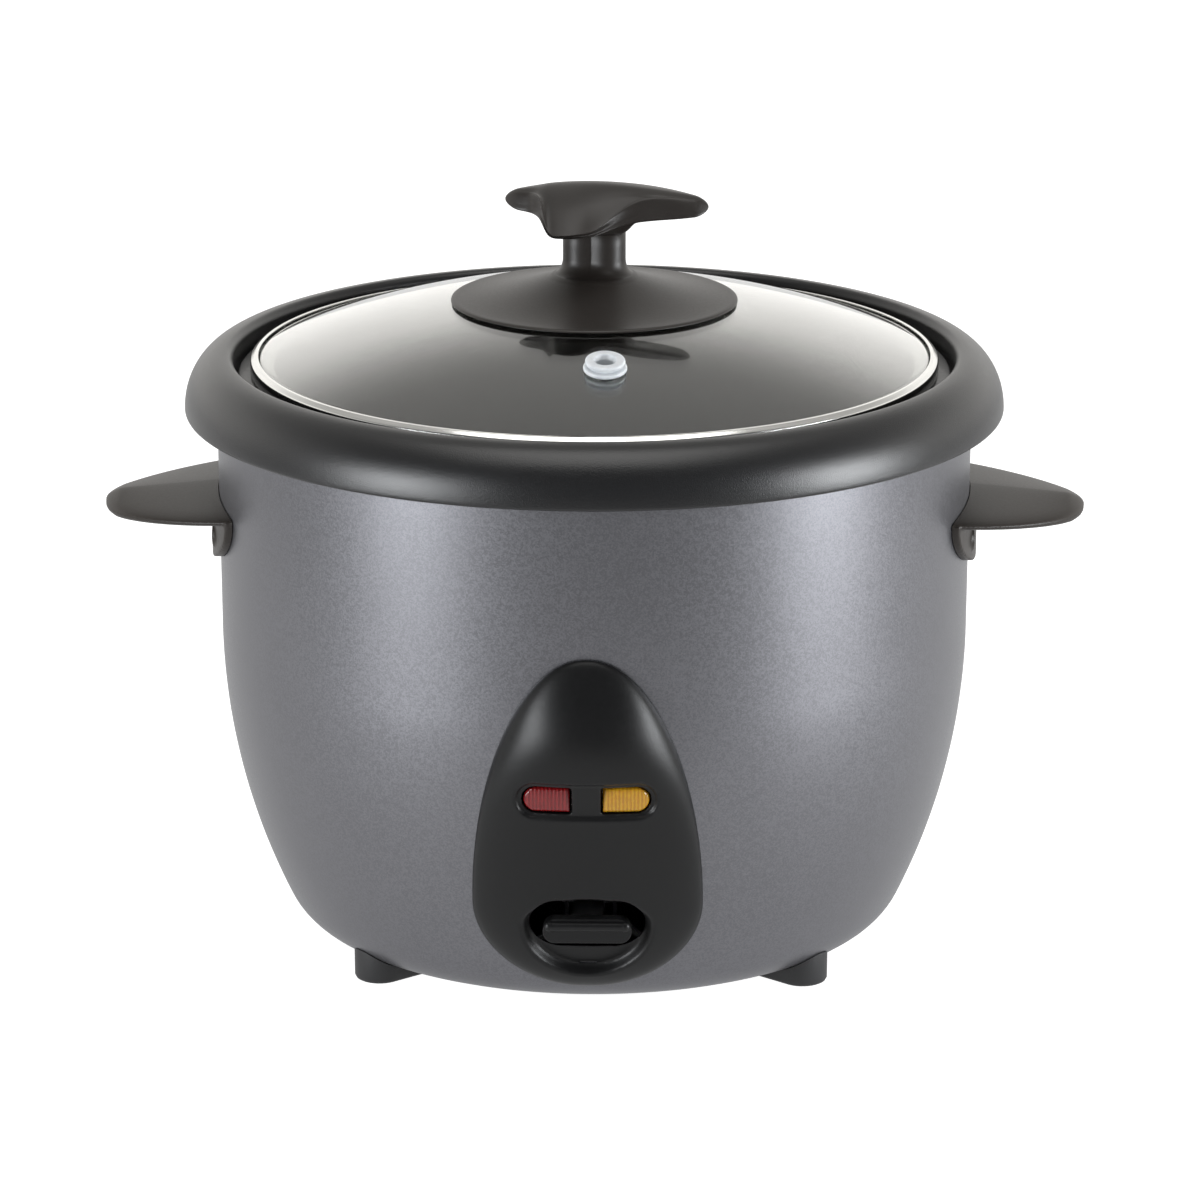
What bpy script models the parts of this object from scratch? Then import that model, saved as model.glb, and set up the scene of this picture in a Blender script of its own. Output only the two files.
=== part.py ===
"""Drum rice cooker with a glass lid, modelled as separate working pieces.

Metres, +Z up.  The origin is on the drum's axis at table level, the control
panel faces -Y and the two handles point along X.  Lengths are written in
millimetres and turned into metres by MM.
"""
import math

import bmesh
import bpy
from mathutils import Matrix, Vector

MM = 0.001
TURN_STEPS = 32          # facets round the drum; a multiple of 4 keeps them aligned
ROUND_STEPS = 20         # facets round the small turned pieces
HOLE_STEPS = 12
GAP = 0.3                # clearance kept between touching pieces
WELD = 1e-5              # metres
AXIS_TURN = 2.0 * math.pi

# Drum: a straight wall, a large arc below it and a small corner into the floor.
WALL_R = 119.8
WALL_TOP_R = 120.5
WALL_TOP_Z = 188.0
BELLY_Z = 105.0          # height where the wall starts to curve in
BELLY_ARC_R = 208.0
CORNER_R = 20.0
FLOOR_Z = 4.5
SHELL_T = 1.0
SHELL_FLOOR_HOLE_R = 58.0

# Black top rim.
RIM_BORE_R = 115.0
RIM_CREST_R = 117.4
RIM_CREST_Z = 192.0
RIM_R = 130.6
RIM_LIP_Z = 174.8
RIM_GROOVE_R = (116.4, 121.2)
RIM_SKIRT_Z = 180.2

# Side handles.
HANDLE_TIP_X = 157.0
HANDLE_ROOT_X = 108.0
HANDLE_HALF_W = 42.0
HANDLE_T = 4.0
HANDLE_Z = 146.0         # top face at the drum
HANDLE_DROOP = math.radians(5.5)
SKIRT_TOP_Z = 144.0       # the skirt under each plate is half an ellipse against the drum
SKIRT_DEPTH = 18.1
SKIRT_HALF_W = 41.0
SKIRT_T = 2.4
HANDLE_SCREW_Y = 22.0
HANDLE_SCREW_Z = 136.0
HANDLE_POINT = 1.35       # above 1 the outline narrows faster than an ellipse

# Control panel: an egg made of two half ellipses.
PANEL_HALF_W = 35.7
PANEL_MID_Z = 42.5
PANEL_UP = 82.3
PANEL_DOWN = 30.3
PANEL_FACE = 5.0          # how far the flat lower face stands off the drum
PANEL_NOSE = 6.5          # how much further the rounded top bulges
PANEL_NOSE_Z = 99.0
PANEL_NOSE_SPREAD = 21.0
LAMP_Z = 81.2
LAMP_X = 12.1
LENS_W = 14.2
LENS_H = 8.2
LENS_PROUD = 6.4
LAMP_WINDOW = ((-24.0, 71.0), (24.0, 91.0))
LEVER_WINDOW = ((-17.9, 28.0), (17.9, 46.0))
DISH_Z = 36.0            # centre of the round finger dish below the slot
DISH_R = 16.0

# Lever mechanism under the drum's liner.
PIVOT_Y = -50.0
PIVOT_Z = 24.0
ARM_T = 2.4
ARM_W = 9.0
KEY_Z = 35.2
KEY_W = 27.4
KEY_H = 7.6
KEY_Y = (-115.5, -108.8)
TAB_Y = -32.0
ARM_REAR_Z = 18.8

# Liner, heating plate and pot.
LINER_FLANGE_Z = 179.8
LINER_FLOOR_Z = 44.0
LINER_T = 1.0
LINER_HOLE_R = 62.0
PLATE_TOP_Z = 61.7
PLATE_R = 84.0
PLATE_BORE_R = 17.0
BOLT_CIRCLE_R = 74.0
POT_FLANGE_R = 113.5
POT_TOP_Z = 185.6
POT_FLOOR_Z = 62.0
POT_T = 1.6

# Temperature sensor and its magnet.
CAN_R = 9.6
CAN_TOP_Z = 54.2
CAN_FLOOR_Z = 34.0
CAP_R = 15.5
FERRITE_Z = 51.8
MAGNET_TOP_Z = 47.5

# Lid.
DOME_TOP_Z = 211.1
DOME_ARC_R = 275.6
GLASS_R = 108.0
GLASS_T = 3.0
BAND_R = 109.6
BAND_Z = 185.9           # underside, on the pot's flange
VENT_X = 4.7
VENT_Y = -70.0
DISC_R = 45.6
STEM_TOP_Z = 230.6
STEM_TURN = math.radians(-10.0)
KNOB_LEFT_X = -28.3
KNOB_RIGHT_X = 36.2
KNOB_TIP = 4.5           # length of each rounded tip
KNOB_TOP_Z = 246.0
KNOB_NOSE_X = -9.5

# Feet and base.
FOOT_R = 88.6
FOOT_ANGLE = math.radians(40.7)
FOOT_HALF_W = 8.0
FOOT_INNER_R = 68.0
FOOT_SCREW_R = 77.0
BASE_R = 81.0
BASE_Z = 5.8

# Mains inlet at the back.
INLET_Z = 32.0
INLET_FACE_PROUD = 3.0

# Finishes: base colour, roughness, metallic value.
FINISHES = {
    "paint": ((0.14, 0.14, 0.16), 0.38, 0.7),
    "black_plastic": ((0.02, 0.02, 0.022), 0.4, 0.0),
    "charcoal_plastic": ((0.05, 0.045, 0.042), 0.45, 0.0),
    "red_lens": ((0.5, 0.02, 0.03), 0.2, 0.0),
    "amber_lens": ((0.8, 0.35, 0.04), 0.2, 0.0),
    "bulb_glass": ((0.9, 0.8, 0.7), 0.1, 0.0),
    "bare_steel": ((0.55, 0.55, 0.56), 0.35, 1.0),
    "bright_steel": ((0.75, 0.75, 0.75), 0.15, 1.0),
    "cast_aluminium": ((0.6, 0.6, 0.6), 0.45, 1.0),
    "pot_coating": ((0.05, 0.05, 0.055), 0.4, 0.2),
    "glass": ((0.55, 0.58, 0.55), 0.05, 0.0),
    "silicone": ((0.85, 0.87, 0.88), 0.4, 0.0),
    "ferrite": ((0.08, 0.08, 0.08), 0.6, 0.0),
    "ceramic": ((0.8, 0.78, 0.72), 0.6, 0.0),
    "mica": ((0.6, 0.5, 0.35), 0.7, 0.0),
    "brass": ((0.75, 0.55, 0.25), 0.3, 1.0),
    "live_sleeve": ((0.35, 0.12, 0.05), 0.5, 0.0),
    "neutral_sleeve": ((0.05, 0.15, 0.5), 0.5, 0.0),
}


# ---------------------------------------------------------------- scene set-up

def clear_scene():
    for obj in list(bpy.data.objects):
        bpy.data.objects.remove(obj, do_unlink=True)


def new_collection(name):
    collection = bpy.data.collections.new(name)
    bpy.context.scene.collection.children.link(collection)
    return collection


clear_scene()
PARTS = new_collection("rice_cooker")
CUTTERS = new_collection("cutters")


def principled(name, finish):
    colour, roughness, metallic = FINISHES[finish]
    material = bpy.data.materials.new(name)
    material.use_nodes = True
    shader = material.node_tree.nodes["Principled BSDF"]
    shader.inputs["Base Color"].default_value = (*colour, 1.0)
    shader.inputs["Roughness"].default_value = roughness
    shader.inputs["Metallic"].default_value = metallic
    return material


def add_object(name, mesh, finish=None, location=(0, 0, 0), rotation=(0, 0, 0)):
    """Link a mesh as a part, or as a cutter when it has no finish."""
    obj = bpy.data.objects.new(name, mesh)
    obj.location = Vector(location) * MM
    obj.rotation_euler = rotation
    if finish:
        mesh.materials.append(principled(name, finish))
        PARTS.objects.link(obj)
    else:
        CUTTERS.objects.link(obj)
        obj.hide_render = True
        obj.display_type = "WIRE"
    return obj


# ---------------------------------------------------------------- shape helpers

def turned(name, profile, finish=None, steps=TURN_STEPS, centre=(0, 0)):
    """Turn a profile of (radius, height) points that runs down its outer side.

    A profile whose ends are on the axis makes a solid; any other is closed
    into a ring."""
    points = [(r * MM, 0.0, z * MM) for r, z in profile]
    edges = [(i, i + 1) for i in range(len(points) - 1)]
    if profile[0][0] > 0:
        edges.append((len(points) - 1, 0))
    mesh = bpy.data.meshes.new(name)
    mesh.from_pydata(points, edges, [])
    obj = add_object(name, mesh, finish, (centre[0], centre[1], 0))
    screw = obj.modifiers.new("Turn", "SCREW")
    screw.axis = "Z"
    screw.angle = AXIS_TURN
    screw.steps = steps
    screw.render_steps = steps
    screw.use_merge_vertices = True
    screw.merge_threshold = WELD
    screw.use_smooth_shade = True
    return obj


def box(name, low, high, finish=None, bevel=0.0):
    size = [h - l for l, h in zip(low, high)]
    centre = [(l + h) / 2 for l, h in zip(low, high)]
    solid = bmesh.new()
    bmesh.ops.create_cube(solid, size=1.0)
    bmesh.ops.scale(solid, vec=Vector(size) * MM, verts=solid.verts)
    mesh = bpy.data.meshes.new(name)
    solid.to_mesh(mesh)
    solid.free()
    obj = add_object(name, mesh, finish, centre)
    if bevel:
        edge = obj.modifiers.new("Bevel", "BEVEL")
        edge.width = bevel * MM
        edge.segments = 2
        edge.limit_method = "ANGLE"
    return obj


def cylinder(name, radius, start, end, finish=None, steps=HOLE_STEPS):
    """A cylinder between two points."""
    start = Vector(start)
    end = Vector(end)
    solid = bmesh.new()
    bmesh.ops.create_cone(
        solid, cap_ends=True, segments=steps,
        radius1=radius * MM, radius2=radius * MM, depth=(end - start).length * MM)
    mesh = bpy.data.meshes.new(name)
    solid.to_mesh(mesh)
    solid.free()
    direction = (end - start).to_track_quat("Z", "Y").to_euler()
    return add_object(name, mesh, finish, (start + end) / 2, direction)


def curve_to_mesh(name, curve, finish, location, rotation):
    """Swap a curve for the closed mesh it draws, so that it can be cut."""
    guide = bpy.data.objects.new(name + "_curve", curve)
    CUTTERS.objects.link(guide)
    bpy.context.view_layer.update()
    depsgraph = bpy.context.evaluated_depsgraph_get()
    mesh = bpy.data.meshes.new_from_object(guide.evaluated_get(depsgraph))
    bpy.data.objects.remove(guide, do_unlink=True)
    mesh.name = name
    mesh.materials.clear()
    solid = bmesh.new()
    solid.from_mesh(mesh)
    bmesh.ops.remove_doubles(solid, verts=solid.verts, dist=WELD)
    bmesh.ops.recalc_face_normals(solid, faces=solid.faces)
    solid.to_mesh(mesh)
    solid.free()
    return add_object(name, mesh, finish, location, rotation)


def plate(name, outline, thickness, finish=None, location=(0, 0, 0), rotation=(0, 0, 0)):
    """A flat outline in its own XY plane, given its thickness both ways."""
    curve = bpy.data.curves.new(name, "CURVE")
    curve.dimensions = "2D"
    curve.fill_mode = "BOTH"
    curve.extrude = thickness / 2 * MM
    spline = curve.splines.new("POLY")
    spline.points.add(len(outline) - 1)
    for point, (x, y) in zip(spline.points, outline):
        point.co = (x * MM, y * MM, 0.0, 1.0)
    spline.use_cyclic_u = True
    return curve_to_mesh(name, curve, finish, location, rotation)


def wire(name, points, radius, finish, location=(0, 0, 0)):
    """A round wire along a list of points."""
    curve = bpy.data.curves.new(name, "CURVE")
    curve.dimensions = "3D"
    curve.bevel_depth = radius * MM
    curve.bevel_resolution = 2
    curve.use_fill_caps = True
    spline = curve.splines.new("POLY")
    spline.points.add(len(points) - 1)
    for point, place in zip(spline.points, points):
        point.co = (*(Vector(place) * MM), 1.0)
    return curve_to_mesh(name, curve, finish, location, (0, 0, 0))


def skin_rings(solid, rings):
    """Faces between rings of vertices, closed by a cap at each end."""
    for first, second in zip(rings, rings[1:]):
        for j in range(len(first)):
            k = (j + 1) % len(first)
            solid.faces.new((first[j], second[j], second[k], first[k]))
    solid.faces.new(rings[0])
    solid.faces.new(rings[-1][::-1])


def finished_mesh(solid, name):
    bmesh.ops.recalc_face_normals(solid, faces=solid.faces)
    mesh = bpy.data.meshes.new(name)
    solid.to_mesh(mesh)
    solid.free()
    return mesh


def combine(obj, other, operation):
    step = obj.modifiers.new(operation.title(), "BOOLEAN")
    step.operation = operation
    step.object = other


def cut(obj, cutter):
    combine(obj, cutter, "DIFFERENCE")


def join(obj, other):
    combine(obj, other, "UNION")


def keep_within(obj, other):
    combine(obj, other, "INTERSECT")


def arc(centre, radii, start, end, steps):
    """Points on an ellipse arc, angles in degrees."""
    points = []
    for i in range(steps + 1):
        angle = math.radians(start + (end - start) * i / steps)
        x = centre[0] + radii[0] * math.cos(angle)
        points.append((x, centre[1] + radii[1] * math.sin(angle)))
    return points


def smooth_route(route, steps):
    """Catmull-Rom points through a wire's own route."""
    places = [Vector(p) for p in route]
    places = [2 * places[0] - places[1]] + places + [2 * places[-1] - places[-2]]
    points = []
    for a, b, c, d in zip(places, places[1:], places[2:], places[3:]):
        for i in range(steps):
            t = i / steps
            points.append(0.5 * (2 * b + (c - a) * t + (2 * a - 5 * b + 4 * c - d) * t * t
                                 + (3 * b - a - 3 * c + d) * t ** 3))
    points.append(places[-2])
    return points


def ride_on(empty_name, location, pieces):
    """Parent pieces to an empty that stands on their joint's axis."""
    empty = bpy.data.objects.new(empty_name, None)
    empty.location = Vector(location) * MM
    PARTS.objects.link(empty)
    for piece in pieces:
        piece.parent = empty
        piece.matrix_parent_inverse = Matrix.Translation(-empty.location)


# ---------------------------------------------------------------- drum

def drum_side(proud, top_z=WALL_TOP_Z, arc_steps=4, corner_steps=3):
    """The drum's side from the top edge to the floor, moved outwards by proud."""
    arc_centre_r = WALL_R - BELLY_ARC_R
    corner_z = FLOOR_Z + CORNER_R
    reach = BELLY_ARC_R - CORNER_R
    corner_r = arc_centre_r + math.sqrt(reach ** 2 - (BELLY_Z - corner_z) ** 2)
    meet = -math.degrees(math.asin((BELLY_Z - corner_z) / reach))
    side = [(WALL_TOP_R + proud, top_z)]
    big = BELLY_ARC_R + proud
    small = CORNER_R + proud
    side += arc((arc_centre_r, BELLY_Z), (big, big), 0, meet, arc_steps)
    side += arc((corner_r, corner_z), (small, small), meet, -90, corner_steps)[1:]
    return side


def make_shell():
    outside = drum_side(0)
    inside = drum_side(-SHELL_T)
    floor = [(SHELL_FLOOR_HOLE_R, FLOOR_Z), (SHELL_FLOOR_HOLE_R, FLOOR_Z + SHELL_T)]
    shell = turned("outer_shell", outside + floor + inside[::-1], "paint")
    for name, ((x0, z0), (x1, z1)) in (("lamp", LAMP_WINDOW), ("lever", LEVER_WINDOW)):
        cut(shell, box("cut_shell_" + name, (x0, -130, z0), (x1, -60, z1)))
    cut(shell, box("cut_shell_inlet", (-15.4, 60, INLET_Z - 10.4), (15.4, 130, INLET_Z + 10.4)))
    for side in (-1, 1):
        for y in (-HANDLE_SCREW_Y, HANDLE_SCREW_Y):
            cut(shell, cylinder("cut_shell_screw", 2.0, (side * 110, y, HANDLE_SCREW_Z),
                                (side * 126, y, HANDLE_SCREW_Z)))
    for x, y in foot_places(FOOT_SCREW_R):
        cut(shell, cylinder("cut_shell_foot", 2.0, (x, y, 2), (x, y, 7)))
    return shell


def drum_clearance(proud):
    """The whole drum as a solid, used to shape what is fixed to its outside."""
    side = drum_side(proud)
    return [(0, side[0][1])] + side + [(0, side[-1][1])]


def drum_skin(name, inner, outer):
    """A thick skin round the drum between two offsets."""
    return turned(name, drum_side(outer) + drum_side(inner)[::-1])


# ---------------------------------------------------------------- rim

def make_rim():
    """A convex ring with a groove underneath that takes the shell's top edge."""
    crown = (RIM_R - RIM_CREST_R, RIM_CREST_Z - RIM_LIP_Z)
    outside = [(RIM_BORE_R, RIM_CREST_Z - 2.4), (RIM_BORE_R + 0.8, RIM_CREST_Z - 0.6)]
    outside += arc((RIM_CREST_R, RIM_LIP_Z), crown, 90, 0, 6)
    lip = [(RIM_R - 0.6, RIM_LIP_Z - 0.9), (RIM_GROOVE_R[1], RIM_LIP_Z - 1.2)]
    groove_top = WALL_TOP_Z + 0.6
    groove = [(RIM_GROOVE_R[1], groove_top), (RIM_GROOVE_R[0], groove_top)]
    skirt = [(RIM_GROOVE_R[0], RIM_SKIRT_Z), (RIM_BORE_R, RIM_SKIRT_Z)]
    turned("rim_ring", outside + lip + groove + skirt, "black_plastic")


# ---------------------------------------------------------------- handles

def handle_outline(side):
    """Half an oval: straight inside the drum, rounded to a tip outside it."""
    points = [(side * (HANDLE_ROOT_X - 8), -HANDLE_HALF_W)]
    for i in range(17):
        angle = math.radians(-90 + 180 * i / 16)
        reach = (HANDLE_TIP_X - HANDLE_ROOT_X) * math.cos(angle) ** HANDLE_POINT
        points.append((side * (HANDLE_ROOT_X + reach), HANDLE_HALF_W * math.sin(angle)))
    points.append((side * (HANDLE_ROOT_X - 8), HANDLE_HALF_W))
    return points


def make_handle(name, side, clearance):
    lift = WALL_R * math.tan(HANDLE_DROOP)
    outline = [(x / math.cos(HANDLE_DROOP), y) for x, y in handle_outline(side)]
    handle = plate(name, outline, HANDLE_T, "charcoal_plastic",
                   (0, 0, HANDLE_Z - HANDLE_T / 2 + lift), (0, side * HANDLE_DROOP, 0))
    outer = WALL_R + SKIRT_T + 0.4
    low = SKIRT_TOP_Z - SKIRT_DEPTH - 2
    skirt = turned("add_skirt_" + name, [
        (outer, SKIRT_TOP_Z + 1), (outer, low), (WALL_R - 4, low), (WALL_R - 4, SKIRT_TOP_Z + 1)])
    half_moon = arc((0, SKIRT_TOP_Z), (SKIRT_HALF_W, SKIRT_DEPTH), 180, 360, 10)
    half_moon += [(SKIRT_HALF_W, SKIRT_TOP_Z + 3), (-SKIRT_HALF_W, SKIRT_TOP_Z + 3)]
    window = side_prism("keep_skirt_" + name, half_moon, 20)
    window.location.x = side * 115 * MM
    keep_within(skirt, window)
    join(handle, skirt)
    for y in (-HANDLE_SCREW_Y, HANDLE_SCREW_Y):
        join(handle, cylinder("add_boss_" + name, 3.6, (side * 117, y, HANDLE_SCREW_Z),
                              (side * 122.4, y, HANDLE_SCREW_Z)))
    cut(handle, clearance)
    for y in (-HANDLE_SCREW_Y, HANDLE_SCREW_Y):
        cut(handle, cylinder("cut_boss_" + name, 1.9, (side * 112, y, HANDLE_SCREW_Z),
                             (side * 121.8, y, HANDLE_SCREW_Z)))


def screw(name, head_r, head_h, shank_r, base, tip):
    """A pan-head screw whose head starts at base and whose shank ends at tip."""
    base = Vector(base)
    tip = Vector(tip)
    length = (tip - base).length
    profile = [(0, length), (shank_r, length), (shank_r, head_h), (head_r, head_h),
               (head_r, 0.25 * head_h), (0.8 * head_r, 0), (0, 0)]
    piece = turned(name, profile, "bare_steel", HOLE_STEPS)
    piece.location = base * MM
    piece.rotation_euler = (tip - base).to_track_quat("Z", "Y").to_euler()
    return piece


def make_handle_screws():
    for side, side_name in ((-1, "left"), (1, "right")):
        for y, y_name in ((-HANDLE_SCREW_Y, "front"), (HANDLE_SCREW_Y, "rear")):
            screw("handle_screw_%s_%s" % (side_name, y_name), 3.4, 2.4, 1.6,
                  (side * 113.4, y, HANDLE_SCREW_Z), (side * 121.4, y, HANDLE_SCREW_Z))


# ---------------------------------------------------------------- control panel

def drum_radius(z):
    """The drum's outside radius above its bottom corner."""
    if z >= BELLY_Z:
        return WALL_R + (WALL_TOP_R - WALL_R) * (z - BELLY_Z) / (WALL_TOP_Z - BELLY_Z)
    return WALL_R - BELLY_ARC_R + math.sqrt(BELLY_ARC_R ** 2 - (BELLY_Z - z) ** 2)


def panel_reach(z):
    return (z - PANEL_MID_Z) / (PANEL_UP if z > PANEL_MID_Z else PANEL_DOWN)


def panel_half_width(z):
    return PANEL_HALF_W * math.sqrt(max(1 - panel_reach(z) ** 2, 0))


def panel_proud(x, z):
    """How far the panel's face stands off the drum: flat low down, a rounded nose near its top."""
    nose = math.exp(-((z - PANEL_NOSE_Z) / PANEL_NOSE_SPREAD) ** 2)
    power = 2.9 - 0.9 * nose
    across = min(abs(x) / max(panel_half_width(z), 0.1), 1.0)
    ends = max(1 - abs(panel_reach(z)) ** 5, 0) ** 0.5
    height = (PANEL_FACE + PANEL_NOSE * nose) * ends
    return GAP + height * (1 - across ** power) ** (1 / power)


def on_drum(x, z, proud):
    """The point in front of the drum at this x and height."""
    return Vector((x, -math.sqrt((drum_radius(z) + proud) ** 2 - x ** 2), z)) * MM


def lens_outline(side, grow=0.0):
    """A window with a square inner end and a round outer end."""
    half_w = LENS_W / 2 + grow
    half_h = LENS_H / 2 + grow
    points = [(LAMP_X - half_w, LAMP_Z + half_h), (LAMP_X - half_w, LAMP_Z - half_h)]
    points += arc((LAMP_X + half_w - half_h, LAMP_Z), (half_h, half_h), -90, 90, 6)
    return [(side * x, z) for x, z in points]


def front_prism(name, outline, y_near, y_far, finish=None):
    """An outline in the XZ plane, carried from y_near to y_far."""
    return plate(name, outline, abs(y_far - y_near), finish,
                 (0, (y_near + y_far) / 2, 0), (math.pi / 2, 0, 0))


def panel_ring(z, across):
    """One level of the panel: along its face, then back along the drum."""
    half_w = panel_half_width(z)
    xs = [half_w * math.sin(math.radians(-90 + 180 * i / across)) for i in range(across + 1)]
    face = [on_drum(x, z, panel_proud(x, z)) for x in xs]
    return face + [on_drum(x, z, GAP - 0.05) for x in reversed(xs)]


def make_panel(levels=15, across=9):
    low = PANEL_MID_Z - PANEL_DOWN
    solid = bmesh.new()
    rings = []
    for i in range(levels):
        share = 0.012 + 0.976 * (1 - math.cos(math.pi * i / (levels - 1))) / 2
        ring = panel_ring(low + (PANEL_UP + PANEL_DOWN) * share, across)
        rings.append([solid.verts.new(point) for point in ring])
    skin_rings(solid, rings)
    panel = add_object("control_panel", finished_mesh(solid, "control_panel"), "black_plastic")
    for side, name in ((-1, "cook"), (1, "warm")):
        cut(panel, front_prism("cut_window_" + name, lens_outline(side, GAP), -140, -90))
    (x0, z0), (x1, z1) = LEVER_WINDOW
    cut(panel, box("cut_slot", (x0, -130, z0), (x1, -80, z1), bevel=3.0))
    cut(panel, cylinder("cut_dish", DISH_R, (0, -107.2, DISH_Z), (0, -130, DISH_Z), steps=20))


def make_lenses():
    for side, name, finish in ((-1, "cook", "red_lens"), (1, "warm", "amber_lens")):
        lens = front_prism(name + "_lamp_lens", lens_outline(side), -140, -90, finish)
        keep_within(lens, drum_skin("keep_lens_" + name, -2.0, LENS_PROUD))


def make_lamps():
    holder = box("lamp_holder", (-23, -113.4, 73.5), (23, -107.2, 88.5), "ceramic")
    for side, name in ((-1, "cook"), (1, "warm")):
        low, high = sorted((side * 3.0, side * 21.5))
        cut(holder, box("cut_holder_" + name, (low, -120, 76.5), (high, -108.6, 85.9)))
        cylinder(name + "_lamp", 2.1, (side * 4.5, -111.2, LAMP_Z), (side * 19.5, -111.2, LAMP_Z),
                 "bulb_glass")


# ---------------------------------------------------------------- base and feet

def foot_places(radius):
    places = []
    for sx, sy in ((-1, -1), (1, -1), (-1, 1), (1, 1)):
        places.append((sx * radius * math.cos(FOOT_ANGLE), sy * radius * math.sin(FOOT_ANGLE)))
    return places


FOOT_NAMES = ("front_left", "front_right", "rear_left", "rear_right")


def make_feet(clearance):
    outline = arc((FOOT_R, 0), (FOOT_HALF_W, FOOT_HALF_W), -90, 90, 6)
    outline += arc((FOOT_INNER_R, 0), (FOOT_HALF_W, FOOT_HALF_W), 90, 270, 6)
    for name, (x, y) in zip(FOOT_NAMES, foot_places(FOOT_R)):
        angle = math.atan2(y, x)
        foot = plate("foot_" + name, outline, 12.4, "black_plastic", (0, 0, 6.2), (0, 0, angle))
        cut(foot, clearance)
        sx, sy = FOOT_SCREW_R * math.cos(angle), FOOT_SCREW_R * math.sin(angle)
        cut(foot, cylinder("cut_foot_head_" + name, 4.2, (sx, sy, -1), (sx, sy, 2.6)))
        cut(foot, cylinder("cut_foot_shank_" + name, 1.9, (sx, sy, 2), (sx, sy, 10)))
        screw("foot_screw_" + name, 3.6, 1.8, 1.6, (sx, sy, 0.6), (sx, sy, 11.0))


def make_base_plate():
    base = turned("base_plate", [
        (0, BASE_Z + 1.2), (50, BASE_Z + 1.2), (BASE_R, BASE_Z + 1.2), (BASE_R, BASE_Z), (0, BASE_Z)],
        "bare_steel")
    for x, y in foot_places(FOOT_SCREW_R):
        cut(base, cylinder("cut_base_foot", 2.0, (x, y, 4), (x, y, 9)))
    for i in range(8):
        slot = box("cut_vent", (26, -1.6, 3), (50, 1.6, 9))
        angle = math.radians(22.5 + 45 * i)
        centre = Matrix.Rotation(angle, 4, "Z") @ Vector((38 * MM, 0, 6 * MM))
        slot.location = centre
        slot.rotation_euler = (0, 0, angle)
        cut(base, slot)


# ---------------------------------------------------------------- liner, plate and pot

def bolt_places():
    angles = (math.radians(a) for a in (60, 180, 300))
    return [(BOLT_CIRCLE_R * math.cos(a), BOLT_CIRCLE_R * math.sin(a)) for a in angles]


def make_liner():
    outside = [(119.2, LINER_FLANGE_Z), (119.2, 178.8), (107.6, 178.8), (107.0, 170), (106.0, 64)]
    outside += arc((92, 64), (14, 20), 0, -90, 3)[1:]
    hole = [(LINER_HOLE_R, LINER_FLOOR_Z), (LINER_HOLE_R, LINER_FLOOR_Z + LINER_T)]
    inside = arc((92, 64), (13, 19), -90, 0, 3) + [(106.0, 170), (106.6, LINER_FLANGE_Z)]
    liner = turned("inner_liner", outside + hole + inside, "bare_steel")
    for x, y in bolt_places():
        cut(liner, cylinder("cut_liner_bolt", 2.1, (x, y, 40), (x, y, 48)))


def make_heating_plate():
    profile = [(PLATE_BORE_R, PLATE_TOP_Z), (82, PLATE_TOP_Z), (PLATE_R, 60), (PLATE_R, 55), (78, 54)]
    profile += [(66, 54), (62, 50), (54, 50), (50, 54), (28, 54), (28, 47.6), (PLATE_BORE_R, 47.6)]
    heater = turned("heating_plate", profile, "cast_aluminium")
    for x, y in bolt_places():
        join(heater, cylinder("add_leg", 4.5, (x, y, 45.4), (x, y, 56)))
        cut(heater, cylinder("cut_leg", 2.0, (x, y, 40), (x, y, 53)))
    for number, (x, y) in enumerate(bolt_places(), 1):
        screw("plate_bolt_%d" % number, 3.6, 2.8, 1.7, (x, y, 40.8), (x, y, 52))
    for side, name in ((-1, "left"), (1, "right")):
        profile = [(0, 49.6), (2.6, 49.6), (2.6, 42), (1.4, 42), (1.4, 36), (0, 36)]
        turned("element_terminal_" + name, profile, "brass", HOLE_STEPS, (side * 10, 57))


def make_pot():
    inside = [(0, POT_FLOOR_Z + POT_T)]
    inside += arc((81, 84), (20, 84 - POT_FLOOR_Z - POT_T), -90, 0, 3)
    inside += [(102.4, 182.6), (103.4, POT_TOP_Z)]
    flange = [(POT_FLANGE_R, POT_TOP_Z), (POT_FLANGE_R, POT_TOP_Z - 1.2), (104.8, POT_TOP_Z - 1.5), (104, 182)]
    outside = arc((80.6, 84), (22, 84 - POT_FLOOR_Z), 0, -90, 3) + [(0, POT_FLOOR_Z)]
    pot = turned("inner_pot", inside + flange + outside, "pot_coating")
    ride_on("axis_pot", (0, 0, POT_FLOOR_Z), [pot])


def make_keep_warm_heater():
    turned("keep_warm_heater", [(108.2, 125), (108.2, 100), (107.0, 100), (107.0, 125)], "mica")


# ---------------------------------------------------------------- sensor and magnet

def coil(name, radius, low, high, turns, wire_r):
    """An open coil that lies flat at both ends."""
    per_turn = 8
    count = turns * per_turn
    points = []
    for i in range(count + 1):
        share = min(max((i / per_turn - 0.75) / (turns - 1.5), 0.0), 1.0)
        angle = AXIS_TURN * i / per_turn
        points.append((radius * math.cos(angle), radius * math.sin(angle),
                       low + wire_r + (high - low - 2 * wire_r) * share))
    return wire(name, points, wire_r, "bright_steel")


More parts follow.
